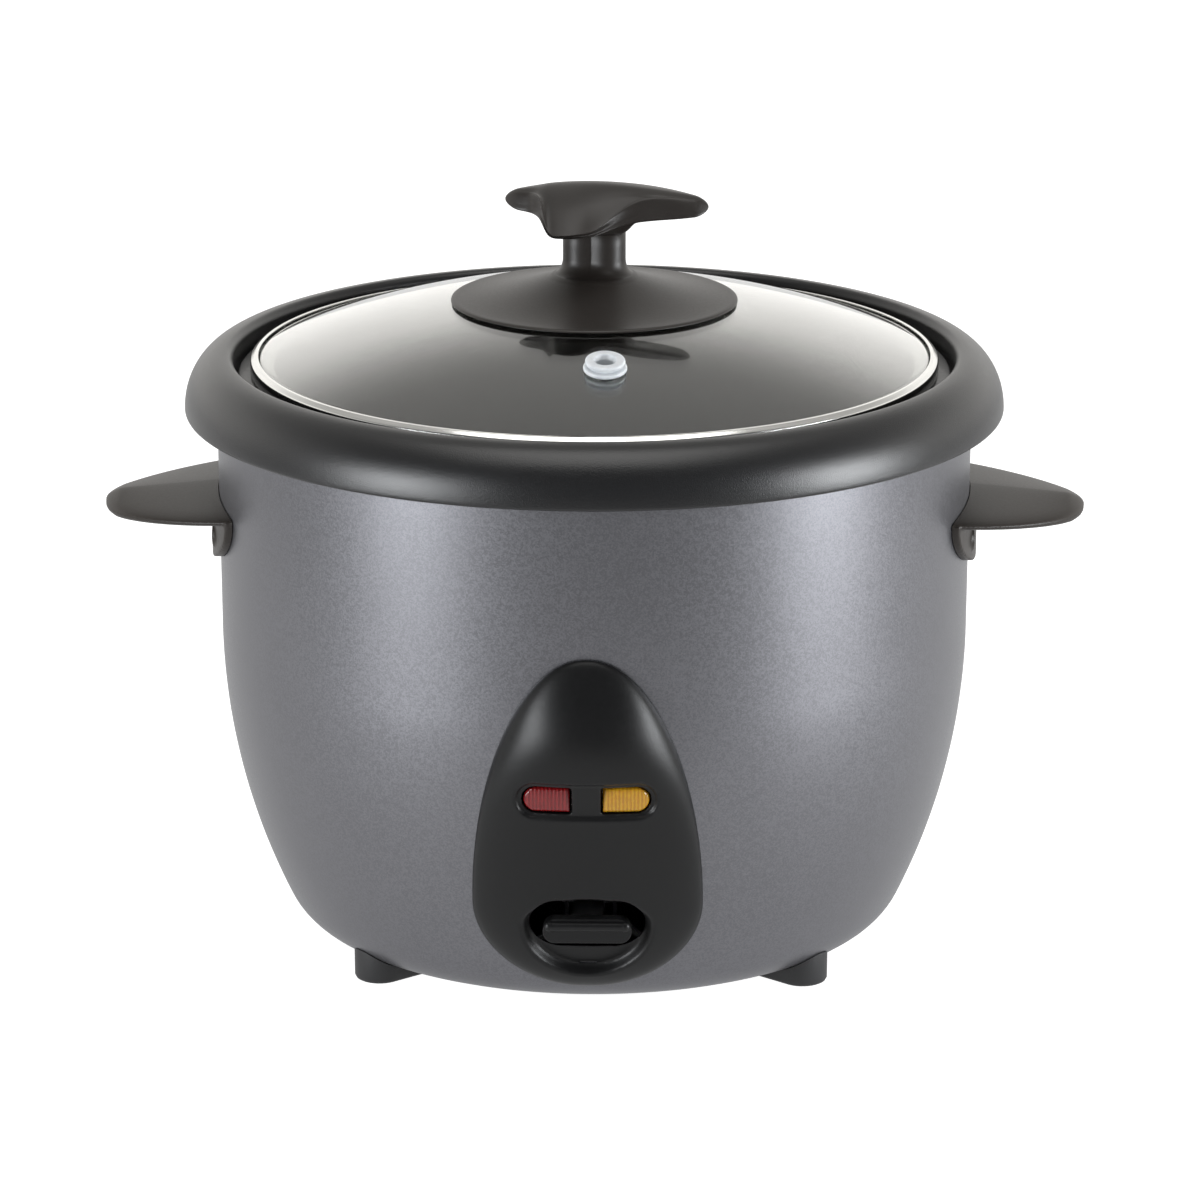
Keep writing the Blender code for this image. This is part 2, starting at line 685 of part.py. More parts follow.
def make_sensor():
    turned("sensor_can", [
        (CAN_R, CAN_TOP_Z), (CAN_R, 47.3), (26, 47.3), (26, 46.1), (CAN_R, 46.1), (CAN_R, CAN_FLOOR_Z),
        (3, CAN_FLOOR_Z), (3, CAN_FLOOR_Z + 1), (8.7, CAN_FLOOR_Z + 1), (8.7, CAN_TOP_Z)],
        "bare_steel", ROUND_STEPS)
    turned("thermal_ferrite", [
        (0, 56.7), (9.4, 56.7), (9.4, CAN_TOP_Z + GAP), (8.3, CAN_TOP_Z + GAP), (8.3, FERRITE_Z),
        (0, FERRITE_Z)], "ferrite", ROUND_STEPS)
    cap = turned("sensor_cap", [
        (0, PLATE_TOP_Z), (CAP_R - 1, PLATE_TOP_Z), (CAP_R, PLATE_TOP_Z - 0.9), (CAP_R, 51), (CAP_R - 1, 51),
        (CAP_R - 1, 60.4), (0, 60.4)], "cast_aluminium", ROUND_STEPS)
    cap_spring = coil("sensor_spring", 12.1, 47.7, 60.0, 4, 0.6)
    ride_on("axis_sensor_cap", (0, 0, PLATE_TOP_Z), [cap, cap_spring])


def make_magnet():
    magnet = turned("magnet", [
        (0, MAGNET_TOP_Z), (7.4, MAGNET_TOP_Z), (7.8, MAGNET_TOP_Z - 0.5), (7.8, 41.5), (0, 41.5)],
        "ferrite", ROUND_STEPS)
    rod = turned("magnet_rod", [
        (0, 41.2), (7.8, 41.2), (7.8, 40), (1.6, 40), (1.6, 21.7), (4.5, 21.7), (4.5, 20.4), (0, 20.4)],
        "bright_steel", ROUND_STEPS)
    spring = coil("magnet_spring", 3.4, 22.0, 33.7, 5, 0.45)
    ride_on("axis_magnet", (0, 0, MAGNET_TOP_Z), [magnet, rod, spring])


# ---------------------------------------------------------------- lever and switch

def strip_outline(centre_line, thickness):
    """Thicken a bent centre line into a closed outline."""
    points = [Vector(p) for p in centre_line]
    upper = []
    lower = []
    for i, point in enumerate(points):
        before = points[max(i - 1, 0)]
        after = points[min(i + 1, len(points) - 1)]
        first = (point - before).normalized() if i else (after - point).normalized()
        second = (after - point).normalized() if i < len(points) - 1 else first
        tangent = (first + second).normalized()
        normal = Vector((-tangent.y, tangent.x))
        spread = thickness / 2 / max(first.dot(tangent), 0.5)
        upper.append(tuple(point + normal * spread))
        lower.append(tuple(point - normal * spread))
    return upper + lower[::-1]


def side_prism(name, outline, half_width, finish=None):
    """An outline in the YZ plane, given its width along X."""
    return plate(name, outline, 2 * half_width, finish, (0, 0, 0), (math.pi / 2, 0, math.pi / 2))


def make_lever():
    line = [(-112.4, KEY_Z), (-74, 33), (PIVOT_Y, PIVOT_Z), (-36, ARM_REAR_Z), (4, ARM_REAR_Z)]
    arm = side_prism("lever_arm", strip_outline(line, ARM_T), ARM_W / 2, "bare_steel")
    join(arm, cylinder("add_eye", 3.6, (-4.3, PIVOT_Y, PIVOT_Z), (4.3, PIVOT_Y, PIVOT_Z), steps=16))
    cut(arm, cylinder("cut_eye", 1.8, (-9, PIVOT_Y, PIVOT_Z), (9, PIVOT_Y, PIVOT_Z)))
    join(arm, box("add_tab", (2, TAB_Y - 2, ARM_REAR_Z - 1.1), (14, TAB_Y + 2, ARM_REAR_Z + 1.1)))
    key = box("cook_lever", (-KEY_W / 2, KEY_Y[0], KEY_Z - KEY_H / 2),
              (KEY_W / 2, KEY_Y[1], KEY_Z + KEY_H / 2), "black_plastic", bevel=2.4)
    cut(key, box("cut_key", (-4.9, -112.8, KEY_Z - 1.7), (4.9, -105, KEY_Z + 1.7)))
    ride_on("axis_cook_lever", (0, PIVOT_Y, PIVOT_Z), [arm, key])


def make_switch_frame():
    bracket = box("switch_bracket", (-8.2, -74, 42.3), (8.2, -20, 43.5), "bare_steel")
    join(bracket, box("add_cheek_left", (-8.2, -58, 19), (-7.0, -42, 43)))
    join(bracket, box("add_cheek_right", (7.0, -58, 19), (8.2, -42, 43)))
    join(bracket, box("add_cheek_switch", (7.0, -43, 23), (8.2, -21, 43)))
    cut(bracket, cylinder("cut_bracket_pin", 1.8, (-12, PIVOT_Y, PIVOT_Z), (12, PIVOT_Y, PIVOT_Z)))
    cylinder("pivot_pin", 1.5, (-9.6, PIVOT_Y, PIVOT_Z), (9.6, PIVOT_Y, PIVOT_Z), "bright_steel")
    switch = box("microswitch", (8.5, -42, 24), (15.5, -22, 36), "black_plastic")
    cut(switch, cylinder("cut_plunger", 1.6, (12, TAB_Y, 20), (12, TAB_Y, 31)))
    plunger = cylinder("switch_plunger", 1.3, (12, TAB_Y, 20.3), (12, TAB_Y, 27.5), "silicone")
    ride_on("axis_switch_plunger", (12, TAB_Y, 20.3), [plunger])


# ---------------------------------------------------------------- inlet and wiring

def make_inlet():
    inlet = front_prism("inlet_housing", arc((0, INLET_Z), (23, 15), 0, 345, 23), 60, 130,
                        "black_plastic")
    keep_within(inlet, drum_skin("keep_inlet", GAP, INLET_FACE_PROUD))
    join(inlet, box("add_inlet", (-15, 84, INLET_Z - 10), (15, 106.5, INLET_Z + 10)))
    cut(inlet, box("cut_socket", (-12, 90, INLET_Z - 7), (12, 130, INLET_Z + 7)))
    for number, x in enumerate((-7, 0, 7), 1):
        cut(inlet, cylinder("cut_pin_%d" % number, 2.3, (x, 80, INLET_Z), (x, 95, INLET_Z)))
        cylinder("inlet_pin_%d" % number, 2.0, (x, 79, INLET_Z), (x, 101, INLET_Z), "brass")


def make_wiring():
    block = box("terminal_block", (-20, 54, 9), (20, 66, 20), "ceramic", bevel=1.0)
    for x in (-10, 0, 10):
        cut(block, box("cut_block", (x - 1, 50, 15), (x + 1, 70, 24)))
    for x, name in ((-7, "live"), (7, "neutral")):
        route = [(x, 78.5, INLET_Z), (x, 73.5, INLET_Z - 0.5), (x, 70, INLET_Z - 6), (x * 0.9, 71, 22),
                 (x * 0.8, 69.5, 18), (x * 0.75, 66.4, 17)]
        wire("supply_lead_" + name, smooth_route(route, 3), 1.3, name + "_sleeve")
    cylinder("thermal_fuse", 2.0, (-52, 50, 41.4), (-40, 60, 41.4), "bright_steel")


# ---------------------------------------------------------------- lid

def dome_z(radius):
    return DOME_TOP_Z - radius ** 2 / (2 * DOME_ARC_R)


def dome_line(start, end, lift, steps):
    radii = [start + (end - start) * i / steps for i in range(steps + 1)]
    return [(r, dome_z(r) + lift) for r in radii]


def make_glass():
    outside = dome_line(4.2, GLASS_R, 0, 5)
    inside = dome_line(GLASS_R, 4.2, -GLASS_T, 4)
    glass = turned("lid_glass", outside + inside, "glass")
    seat, normal = vent_seat()
    cut(glass, cylinder("cut_vent_hole", 4.5, seat - 8 * normal, seat + 8 * normal, steps=16))
    return glass


def make_band():
    """A steel band with a lip over the glass and a skirt that drops into the pot."""
    lip_r = GLASS_R - 1.0
    lip_z = dome_z(lip_r) + GAP
    edge_z = dome_z(GLASS_R)
    return turned("lid_band", [
        (lip_r, lip_z + 0.6), (GLASS_R, lip_z + 0.4), (BAND_R, edge_z + 0.1), (BAND_R, BAND_Z),
        (102.4, BAND_Z), (101.9, BAND_Z - 4), (101.2, BAND_Z - 4), (101.4, BAND_Z + 0.3),
        (102.6, BAND_Z + 0.6), (BAND_R - 1.2, BAND_Z + 0.6), (BAND_R - 1.2, edge_z - 0.1),
        (lip_r, lip_z + 0.1)], "bright_steel")


def vent_seat():
    """Where the vent's axis meets the glass, and the glass's own direction there."""
    seat = Vector((VENT_X, VENT_Y, dome_z(math.hypot(VENT_X, VENT_Y))))
    return seat, Vector((VENT_X, VENT_Y, DOME_ARC_R)).normalized()


def make_vent():
    below = -GLASS_T - 0.5
    seat, normal = vent_seat()
    vent = turned("vent_grommet", [
        (2.9, 4.0), (5.8, 4.0), (6.2, 3.6), (6.2, 2.8), (5.0, 2.5), (5.0, 2.0), (6.8, 1.7), (6.8, 0.5), (4.0, 0.5),
        (4.0, below), (6.2, below), (6.0, below - 1.4), (2.9, below - 1.4)], "silicone", 16)
    vent.location = seat * MM
    vent.rotation_euler = normal.to_track_quat("Z", "Y").to_euler()
    return vent


def make_knob_base():
    under = dome_line(0, DISC_R - 0.8, GAP, 4)[::-1]
    trumpet = [(0, 219), (9, 219), (11.5, 217), (15, 215.2), (22, 213.1), (32, 210.9), (DISC_R - 0.8, 208.8)]
    disc = turned("knob_base", trumpet + [(DISC_R, 208.2)] + under, "charcoal_plastic")
    turn = Matrix.Rotation(STEM_TURN, 3, "Z")
    for side in (-1, 1):
        foot = turn @ Vector((side * 4.2, 0, 214))
        head = turn @ Vector((side * 4.2, 0, STEM_TOP_Z))
        join(disc, cylinder("add_stem", 5.7, foot, head, steps=20))
    cut(disc, cylinder("cut_knob_screw", 2.1, (0, 0, 200), (0, 0, 226)))
    return disc


def knob_section(x):
    """Points round one slice across the wing, from its back edge over the top and back underneath.

    The wing lies slightly askew, and left of the stem a nose runs forwards and down."""
    share = (x - (KNOB_LEFT_X + KNOB_RIGHT_X) / 2) / ((KNOB_RIGHT_X - KNOB_LEFT_X) / 2)
    if x > KNOB_NOSE_X:
        nose = math.exp(-((x - KNOB_NOSE_X) / 14.5) ** 2)
    else:
        nose = math.exp(-((x - KNOB_NOSE_X) / 8.0) ** 4)
    drop = math.exp(-(max(x + 2.0, 0) / 12.5) ** 2 - (max(-8.0 - x, 0) / 8.0) ** 8)
    half = 3.2 + 4.3 * (1 - share ** 4)
    middle = -2.0 - 0.17 * x
    front = middle - half - 15.0 * nose
    back = middle + half + 2.5 * (1 - share ** 2)
    top = KNOB_TOP_Z - 3.4 * share ** 2
    crease = top - 1.8 + 0.6 * share ** 4 - 9.8 * drop
    flare = 1.6 * (1 - drop)
    lip = 2.0 + 5.4 * (1 - drop) - 4.3 * share ** 2
    under = top - 5.4 + 1.6 * share ** 4 - 9.8 * math.exp(-(x / 14) ** 6)
    low = min(under, crease - lip)
    return [
        (back, top - 2.8), (back - 1.2, top - 0.9), (middle + 0.5, top),
        ((middle + front) / 2, top - 0.5 - 0.3 * (top - crease)), (front + 0.9 + flare, crease + 0.9),
        (front + flare, crease), (front + 0.4 + 0.9 * drop, crease - 0.55 * lip),
        (front - 0.2 + 1.7 * drop, crease - lip), (middle - 0.6 * half, low),
        (middle + 0.5 * half, under), (back - 0.8, top - 4.6)]


def make_knob():
    stations = 19
    length = KNOB_RIGHT_X - KNOB_LEFT_X
    solid = bmesh.new()
    rings = []
    for i in range(stations):
        inward = length * (1 - math.cos(math.pi * i / (stations - 1))) / 2
        x = KNOB_LEFT_X + inward
        section = knob_section(x)
        centre = sum((Vector(point) for point in section), Vector((0, 0))) / len(section)
        to_tip = min(inward, length - inward, KNOB_TIP)
        pinch = max(1 - (1 - to_tip / KNOB_TIP) ** 2, 0.12) ** 0.5
        ring = []
        for point in section:
            y, z = centre + (Vector(point) - centre) * pinch
            ring.append(solid.verts.new((x * MM, y * MM, z * MM)))
        rings.append(ring)
    skin_rings(solid, rings)
    knob = add_object("lid_knob", finished_mesh(solid, "lid_knob"), "charcoal_plastic")
    seat = box("cut_knob_seat", (-14, -7.6, 215), (14, 7.6, STEM_TOP_Z + GAP))
    seat.rotation_euler = (0, 0, STEM_TURN)
    cut(knob, seat)
    return knob


def make_lid():
    glass = make_glass()
    band = make_band()
    vent = make_vent()
    disc = make_knob_base()
    knob = make_knob()
    under = dome_z(0) - GLASS_T
    washer = turned("knob_washer", [
        (9, under - 0.5), (9, under - 1.6), (2.3, under - 1.6), (2.3, under - 0.5)], "silicone", ROUND_STEPS)
    bolt = screw("knob_screw", 5.0, 2.6, 1.8, (0, 0, under - 4.6), (0, 0, 225))
    ride_on("axis_lid", (0, 0, POT_TOP_Z), [glass, band, vent, disc, knob, washer, bolt])


# ---------------------------------------------------------------- assembly

def main():
    make_shell()
    make_rim()
    outside = turned("cut_drum_clearance", drum_clearance(GAP))
    make_handle("handle_left", -1, outside)
    make_handle("handle_right", 1, outside)
    make_handle_screws()
    make_panel()
    make_lenses()
    make_lamps()
    make_base_plate()
    make_feet(outside)
    make_liner()
    make_heating_plate()
    make_keep_warm_heater()
    make_sensor()
    make_magnet()
    make_lever()
    make_switch_frame()
    make_inlet()
    make_wiring()
    make_pot()
    make_lid()


main()
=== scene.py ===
"""How the drum rice cooker looks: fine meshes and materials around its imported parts.

Metres, +Z up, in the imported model's own frame: the origin is on the drum's axis at
table level and the control panel faces -Y.  Lengths are written in millimetres and
turned into metres by MM.
"""
from math import asin, atan2, cos, degrees, exp, hypot, pi, radians, sin, sqrt, tan

import bmesh
import bpy
from mathutils import Matrix, Vector


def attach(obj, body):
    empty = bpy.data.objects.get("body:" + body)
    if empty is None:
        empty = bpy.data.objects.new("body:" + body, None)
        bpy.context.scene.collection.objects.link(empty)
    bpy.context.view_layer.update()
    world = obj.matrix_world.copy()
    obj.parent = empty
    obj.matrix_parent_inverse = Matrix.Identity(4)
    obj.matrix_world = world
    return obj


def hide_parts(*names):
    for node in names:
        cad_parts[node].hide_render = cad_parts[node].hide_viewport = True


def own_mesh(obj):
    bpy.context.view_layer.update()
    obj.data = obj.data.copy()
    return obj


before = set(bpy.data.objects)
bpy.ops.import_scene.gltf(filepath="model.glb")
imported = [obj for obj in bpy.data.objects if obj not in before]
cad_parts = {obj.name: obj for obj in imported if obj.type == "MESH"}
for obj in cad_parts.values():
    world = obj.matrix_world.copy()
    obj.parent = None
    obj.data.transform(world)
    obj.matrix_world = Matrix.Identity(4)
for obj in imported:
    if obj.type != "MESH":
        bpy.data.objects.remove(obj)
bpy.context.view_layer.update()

MM = 0.001
TURN_STEPS = 192         # facets round the large turned pieces
SMALL_STEPS = 64         # facets round the small ones
GAP = 0.3                # clearance that touching pieces keep

# Drum: a straight wall, a large arc below it and a small corner into the floor.
WALL_R = 119.8
WALL_TOP_R = 120.5
WALL_TOP_Z = 188.0
BELLY_Z = 105.0
BELLY_ARC_R = 208.0
CORNER_R = 20.0
FLOOR_Z = 4.5
SHELL_T = 1.0
SHELL_FLOOR_HOLE_R = 58.0

# Black top rim.
RIM_BORE_R = 115.0
RIM_CREST_R = 117.4
RIM_CREST_Z = 192.0
RIM_R = 130.6
RIM_LIP_Z = 174.8
RIM_GROOVE_R = (116.4, 121.2)
RIM_SKIRT_Z = 180.2

# Side handles.
HANDLE_TIP_X = 157.0
HANDLE_ROOT_X = 108.0
HANDLE_HALF_W = 42.0
HANDLE_Z = 146.0
HANDLE_DROOP = radians(5.5)
HANDLE_POINT = 1.35      # above 1 the outline narrows faster than an ellipse
HANDLE_CROWN = 2.8
HANDLE_HOLLOW = 3.6
SKIRT_TOP_Z = 144.0
SKIRT_DEPTH = 18.1
SKIRT_HALF_W = 41.0
SKIRT_T = 2.4
HANDLE_SCREW_YS = (-22.0, 22.0)
HANDLE_SCREW_Z = 136.0
HANDLE_SCREW_X = (113.4, 120.2)    # head and tip
HANDLE_BOSS_X = 121.1

# Control panel: an egg made of two half ellipses.
PANEL_HALF_W = 35.7
PANEL_MID_Z = 42.5
PANEL_UP = 82.3
PANEL_DOWN = 30.3
PANEL_FACE = 5.0
PANEL_NOSE = 6.5
PANEL_NOSE_Z = 99.0
PANEL_NOSE_SPREAD = 21.0
PANEL_VOXEL = 0.42
LAMP_Z = 81.2
LAMP_X = 12.1
LENS_W = 14.2
LENS_H = 8.2
LENS_ROUND_X = LAMP_X + LENS_W / 2 - LENS_H / 2    # centre of each lens's round end
LENS_PROUD = 6.1
LENS_PITCH = 1.15        # spacing of the ribs moulded in each lens
LENS_RIB = 0.07
LENS_CROWN = 0.5
LENS_EDGE = 1.1          # width of each lens's rounded edge
SLOT_HALF_W = 17.9
SLOT_Z = (28.0, 46.0)
RECESS_HALF_W = 21.4      # shallow stadium round both lamps
RECESS_HALF_H = 6.0
RECESS_DEPTH = 1.5
DISH_Z = 36.0
DISH_HALF_W = 21.0
DISH_REACH = (18.6, 11.0)  # below and above its middle
DISH_DEPTH = 4.3
KEY_Z = 35.2

# Lid.
DOME_TOP_Z = 211.1
DOME_ARC_R = 275.6
GLASS_R = 108.0
GLASS_T = 3.0
BAND_R = 109.6
BAND_Z = 185.9
VENT_X = 4.7
VENT_Y = -70.0
DISC_R = 45.6
STEM_TOP_Z = 230.6
STEM_LOBE_R = 5.7
STEM_LOBE_X = 4.2
STEM_WAIST_R = 5.0        # fills the groove between the lobes
FLARE_R = 13.0            # where the disc turns up into its stem
STEM_TURN = radians(-10.0)
KNOB_LEFT_X = -28.3
KNOB_RIGHT_X = 36.2
KNOB_TIP = 4.5           # length of each rounded tip
KNOB_TOP_Z = 246.0
KNOB_NOSE_X = -9.5

# Pot, liner and heating plate.
POT_TOP_Z = 185.6
POT_FLANGE_R = 113.5
POT_FLOOR_Z = 62.0
POT_CORNER_Z = 84.0       # where the wall turns in to the floor
POT_T = 1.6
PLATE_TOP_Z = 61.7
PLATE_R = 84.0
PLATE_BORE_R = 17.0
BOLT_CIRCLE_R = 74.0
LINER_FLANGE_Z = 179.8
LINER_FLOOR_Z = 44.0
LINER_CORNER_Z = 64.0
LINER_HOLE_R = 62.0
CAP_R = 15.5
CAP_TRAVEL = 3.0
MAGNET_TRAVEL = 3.95

# Feet and base.
FOOT_R = 88.6
FOOT_ANGLE = radians(40.7)
FOOT_HALF_W = 8.0
FOOT_INNER_R = 68.0
FOOT_SCREW_R = 77.0
BASE_R = 81.0
BASE_Z = 5.8

# Mains inlet at the back.
INLET_Z = 32.0
INLET_PROUD = 3.0

# Studio: sizes in metres, light as linear red, green and blue.
FLOOR_R = 6.0
SOFT_BOX_SIZE = (0.42, 0.42)
COOL_LIGHT = (0.95, 0.975, 1.0)

# Camera: a little above the rim, from the front.
CAMERA_TILT = radians(16.28)
CAMERA_TURN = radians(1.1)
CAMERA_DISTANCE = 1936.0
CAMERA_AIM_Z = 108.5
CAMERA_AIM_RIGHT = 1.8
CAMERA_LENS = 180.0


# ---------- mesh helpers

def add_object(name, data):
    obj = bpy.data.objects.new(name, data)
    bpy.context.scene.collection.objects.link(obj)
    return obj


def object_from(name, solid):
    """Turn a bmesh into an object whose faces point outwards."""
    bmesh.ops.recalc_face_normals(solid, faces=solid.faces)
    mesh = bpy.data.meshes.new(name)
    solid.to_mesh(mesh)
    solid.free()
    return add_object(name, mesh)


def arc(centre, radii, start, end, steps):
    """Points on an ellipse arc, angles in degrees."""
    points = []
    for i in range(steps + 1):
        angle = radians(start + (end - start) * i / steps)
        points.append((centre[0] + radii[0] * cos(angle), centre[1] + radii[1] * sin(angle)))
    return points


def rounded(corners, steps=5):
    """Close an outline of (x, y, radius) corners, each rounded by its radius."""
    points = []
    for i, (x, y, radius) in enumerate(corners):
        here = Vector((x, y))
        back = Vector(corners[i - 1][:2]) - here
        onward = Vector(corners[(i + 1) % len(corners)][:2]) - here
        half = back.angle(onward) / 2
        if radius <= 0 or half > radians(89):
            points.append((x, y))
            continue
        reach = min(radius / tan(half), 0.48 * back.length, 0.48 * onward.length)
        true_r = reach * tan(half)
        middle = here + (back.normalized() + onward.normalized()).normalized() * true_r / sin(half)
        start = here + back.normalized() * reach - middle
        end = here + onward.normalized() * reach - middle
        for k in range(steps + 1):
            spoke = start.lerp(end, k / steps).normalized() * true_r
            points.append(tuple(middle + spoke))
    return points


def band(solid, first, second):
    """Faces between two closed rings, either of which may be a single point."""
    count = max(len(first), len(second))
    for j in range(count):
        k = (j + 1) % count
        corners = [ring[i % len(ring)] for ring, i in ((first, j), (second, j), (second, k), (first, k))]
        corners = list(dict.fromkeys(corners))
        if len(corners) > 2:
            solid.faces.new(corners)


def turned(name, outline, steps=TURN_STEPS):
    """Turn a closed outline of (radius, height) points about the drum's axis."""
    solid = bmesh.new()
    rings = []
    for r, z in outline:
        if r < 1e-6:
            rings.append([solid.verts.new((0, 0, z * MM))])
            continue
        angles = [2 * pi * j / steps for j in range(steps)]
        rings.append([solid.verts.new((r * MM * cos(a), r * MM * sin(a), z * MM)) for a in angles])
    for first, second in zip(rings, rings[1:] + rings[:1]):
        band(solid, first, second)
    return object_from(name, solid)


def lofted(name, rings):
    """Skin a stack of rings of points in metres, closed by a cap at each end."""
    solid = bmesh.new()
    rows = [[solid.verts.new(point) for point in ring] for ring in rings]
    for first, second in zip(rows, rows[1:]):
        band(solid, first, second)
    solid.faces.new(rows[0])
    solid.faces.new(rows[-1][::-1])
    return object_from(name, solid)


def prism(name, outline, low, high, turn=Matrix.Identity(3)):
    """Carry an XY outline from low to high along Z, then turn it."""
    rings = [[turn @ (Vector((x, y, z)) * MM) for x, y in outline] for z in (low, high)]
    return lofted(name, rings)


TO_FRONT = Matrix(((1, 0, 0), (0, 0, -1), (0, 1, 0)))      # XY outline to the XZ plane, +Z to -Y
TO_SIDE = Matrix(((0, 0, 1), (1, 0, 0), (0, 1, 0)))        # XY outline to the YZ plane, +Z to +X


def box(low, high, radius=0.0):
    """A box between two corners, with its upright edges rounded."""
    corners = [(low[0], low[1]), (high[0], low[1]), (high[0], high[1]), (low[0], high[1])]
    outline = rounded([(x, y, radius) for x, y in corners]) if radius else corners
    return prism("box", outline, low[2], high[2])


def rod(radius, start, end, steps):
    """A round rod between two points."""
    start, end = Vector(start), Vector(end)
    turn = (end - start).to_track_quat("Z", "Y").to_matrix()
    circle = arc((0, 0), (radius, radius), 0, 360 - 360 / steps, steps - 1)
    obj = prism("rod", circle, 0, (end - start).length, turn)
    obj.data.transform(Matrix.Translation(start * MM))
    return obj


def apply_modifiers(obj):
    bpy.context.view_layer.update()
    depsgraph = bpy.context.evaluated_depsgraph_get()
    mesh = bpy.data.meshes.new_from_object(obj.evaluated_get(depsgraph))
    obj.modifiers.clear()
    obj.data = mesh


def boolean(obj, tool, operation):
    step = obj.modifiers.new(operation, "BOOLEAN")
    step.operation = operation
    step.object = tool
    apply_modifiers(obj)
    bpy.data.objects.remove(tool, do_unlink=True)


def cut(obj, *tools):
    for tool in tools:
        boolean(obj, tool, "DIFFERENCE")


def join(obj, *tools):
    for tool in tools:
        boolean(obj, tool, "UNION")


def melt(obj, voxel, smoothing):
    """Remesh evenly and relax, which rounds every edge as a mould does."""
    step = obj.modifiers.new("Voxels", "REMESH")
    step.mode = "VOXEL"
    step.voxel_size = voxel * MM
    relax = obj.modifiers.new("Relax", "SMOOTH")
    relax.factor = 0.5
    relax.iterations = smoothing
    apply_modifiers(obj)


def settle(obj, body, slot, *nodes, sharp=38.0):
    """Give a finished piece its material, its shading and its place in the model."""
    obj.data.materials.clear()
    obj.data.materials.append(MATERIALS[slot])
    obj.data.shade_smooth()
    obj.data.set_sharp_from_angle(angle=radians(sharp))
    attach(obj, body)
    if nodes:
        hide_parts(*nodes)
    return obj


# ---------- material helpers

def made(name, build, *values, **more):
    """A material whose shader is set up by build, from the place on the object in metres."""
    material = bpy.data.materials.new(name)
    material.use_nodes = True
    nodes = material.node_tree.nodes
    build(nodes["Principled BSDF"], nodes.new("ShaderNodeTexCoord").outputs["Object"], *values, **more)
    return material


def feed(socket, value):
    """Link an output to a socket, or set the socket to a plain value."""
    if isinstance(value, bpy.types.NodeSocket):
        socket.id_data.links.new(value, socket)
    else:
        socket.default_value = value


def node(kind, inputs, **settings):
    """A new shader node in the tree of the first output among its inputs."""
    source = next(value for value in inputs.values() if isinstance(value, bpy.types.NodeSocket))
    new = source.id_data.nodes.new("ShaderNode" + kind)
    for key, value in settings.items():
        setattr(new, key, value)
    for key, value in inputs.items():
        feed(new.inputs[key], value)
    return new


def noise(place, size, detail=3.0, roughness=0.55):
    """Soft noise whose grains are about size millimetres."""
    inputs = {"Vector": place, "Scale": 1 / (size * MM), "Detail": detail, "Roughness": roughness}
    return node("TexNoise", inputs).outputs["Fac"]


def cells(place, size, output="Distance"):
    """Voronoi cells of about size millimetres."""
    return node("TexVoronoi", {"Vector": place, "Scale": 1 / (size * MM)}).outputs[output]


def spread(value, low, high, start=0.0, end=1.0, ease="LINEAR"):
    """Map start..end to low..high."""
    inputs = {"Value": value, "From Min": start, "From Max": end, "To Min": low, "To Max": high}
    return node("MapRange", inputs, interpolation_type=ease).outputs["Result"]


def maths(operation, first, second=0.0):
    return node("Math", {0: first, 1: second}, operation=operation).outputs[0]


def weighted(first, first_share, second, second_share=1.0):
    """A sum of two values, each times its share."""
    return maths("ADD", maths("MULTIPLY", first, first_share), maths("MULTIPLY", second, second_share))


def shades(value, dark, light):
    """Blend two colours by a value, with most of the change in its middle."""
    ramp = node("ValToRGB", {"Fac": value})
    for stop, position, colour in zip(ramp.color_ramp.elements, (0.3, 0.7), (dark, light)):
        stop.position = position
        stop.color = (*colour, 1)
    return ramp.outputs["Color"]


def bump(height, depth, strength=1.0, under=None):
    """Relief of the given depth in millimetres."""
    inputs = {"Height": height, "Distance": depth * MM, "Strength": strength}
    if under:
        inputs["Normal"] = under
    return node("Bump", inputs).outputs["Normal"]


def around_axis(place, along, across):
    """Coordinates stretched round the drum's axis, so that noise becomes turning marks."""
    parts = node("SeparateXYZ", {0: place}).outputs
    radius = maths("SQRT", weighted(parts[0], parts[0], parts[1], parts[1]))
    angle = maths("ARCTAN2", parts[1], parts[0])
    inputs = {0: maths("MULTIPLY", angle, along), 1: maths("MULTIPLY", radius, across),
              2: maths("MULTIPLY", parts[2], across)}
    return node("CombineXYZ", inputs).outputs[0]


def dress(shader, **values):
    """Feed the shader's sockets, underscores standing for spaces."""
    for key, value in values.items():
        feed(shader.inputs[key.replace("_", " ")], value)


def scaled(colour, share):
    return tuple(channel * share for channel in colour)


# ---------- materials

def metallic_paint(shader, place, colour):
    """Satin paint with fine aluminium flake under a slight orange peel."""
    flake = cells(place, 0.42, "Color")
    sparkle = node("SeparateColor", {0: flake}).outputs[0]
    mottled = weighted(noise(place, 35.0, 2.0), 0.35, sparkle, 0.65)
    peel = bump(noise(place, 1.6, 2.0), 0.012)
    dress(shader, Base_Color=shades(mottled, scaled(colour, 0.9), scaled(colour, 1.1)),
          Roughness=spread(sparkle, 0.33, 0.44), Normal=bump(sparkle, 0.006, 0.6, peel), Metallic=0.88)


def moulded_plastic(shader, place, colour, roughness, grain, depth, warmth=0.12, specular=0.5):
    """Moulded plastic with a spark-eroded grain and faint flow clouds."""
    fine = noise(place, grain, 4.0, 0.65)
    both = weighted(noise(place, 18.0, 3.0), 0.5, fine, 0.5)
    relief = weighted(cells(place, grain * 0.8), 0.5, fine)
    dress(shader, Base_Color=shades(both, scaled(colour, 1 - warmth), scaled(colour, 1 + warmth)),
          Roughness=spread(fine, roughness - 0.06, roughness + 0.08), Normal=bump(relief, depth),
          Specular_IOR_Level=specular)


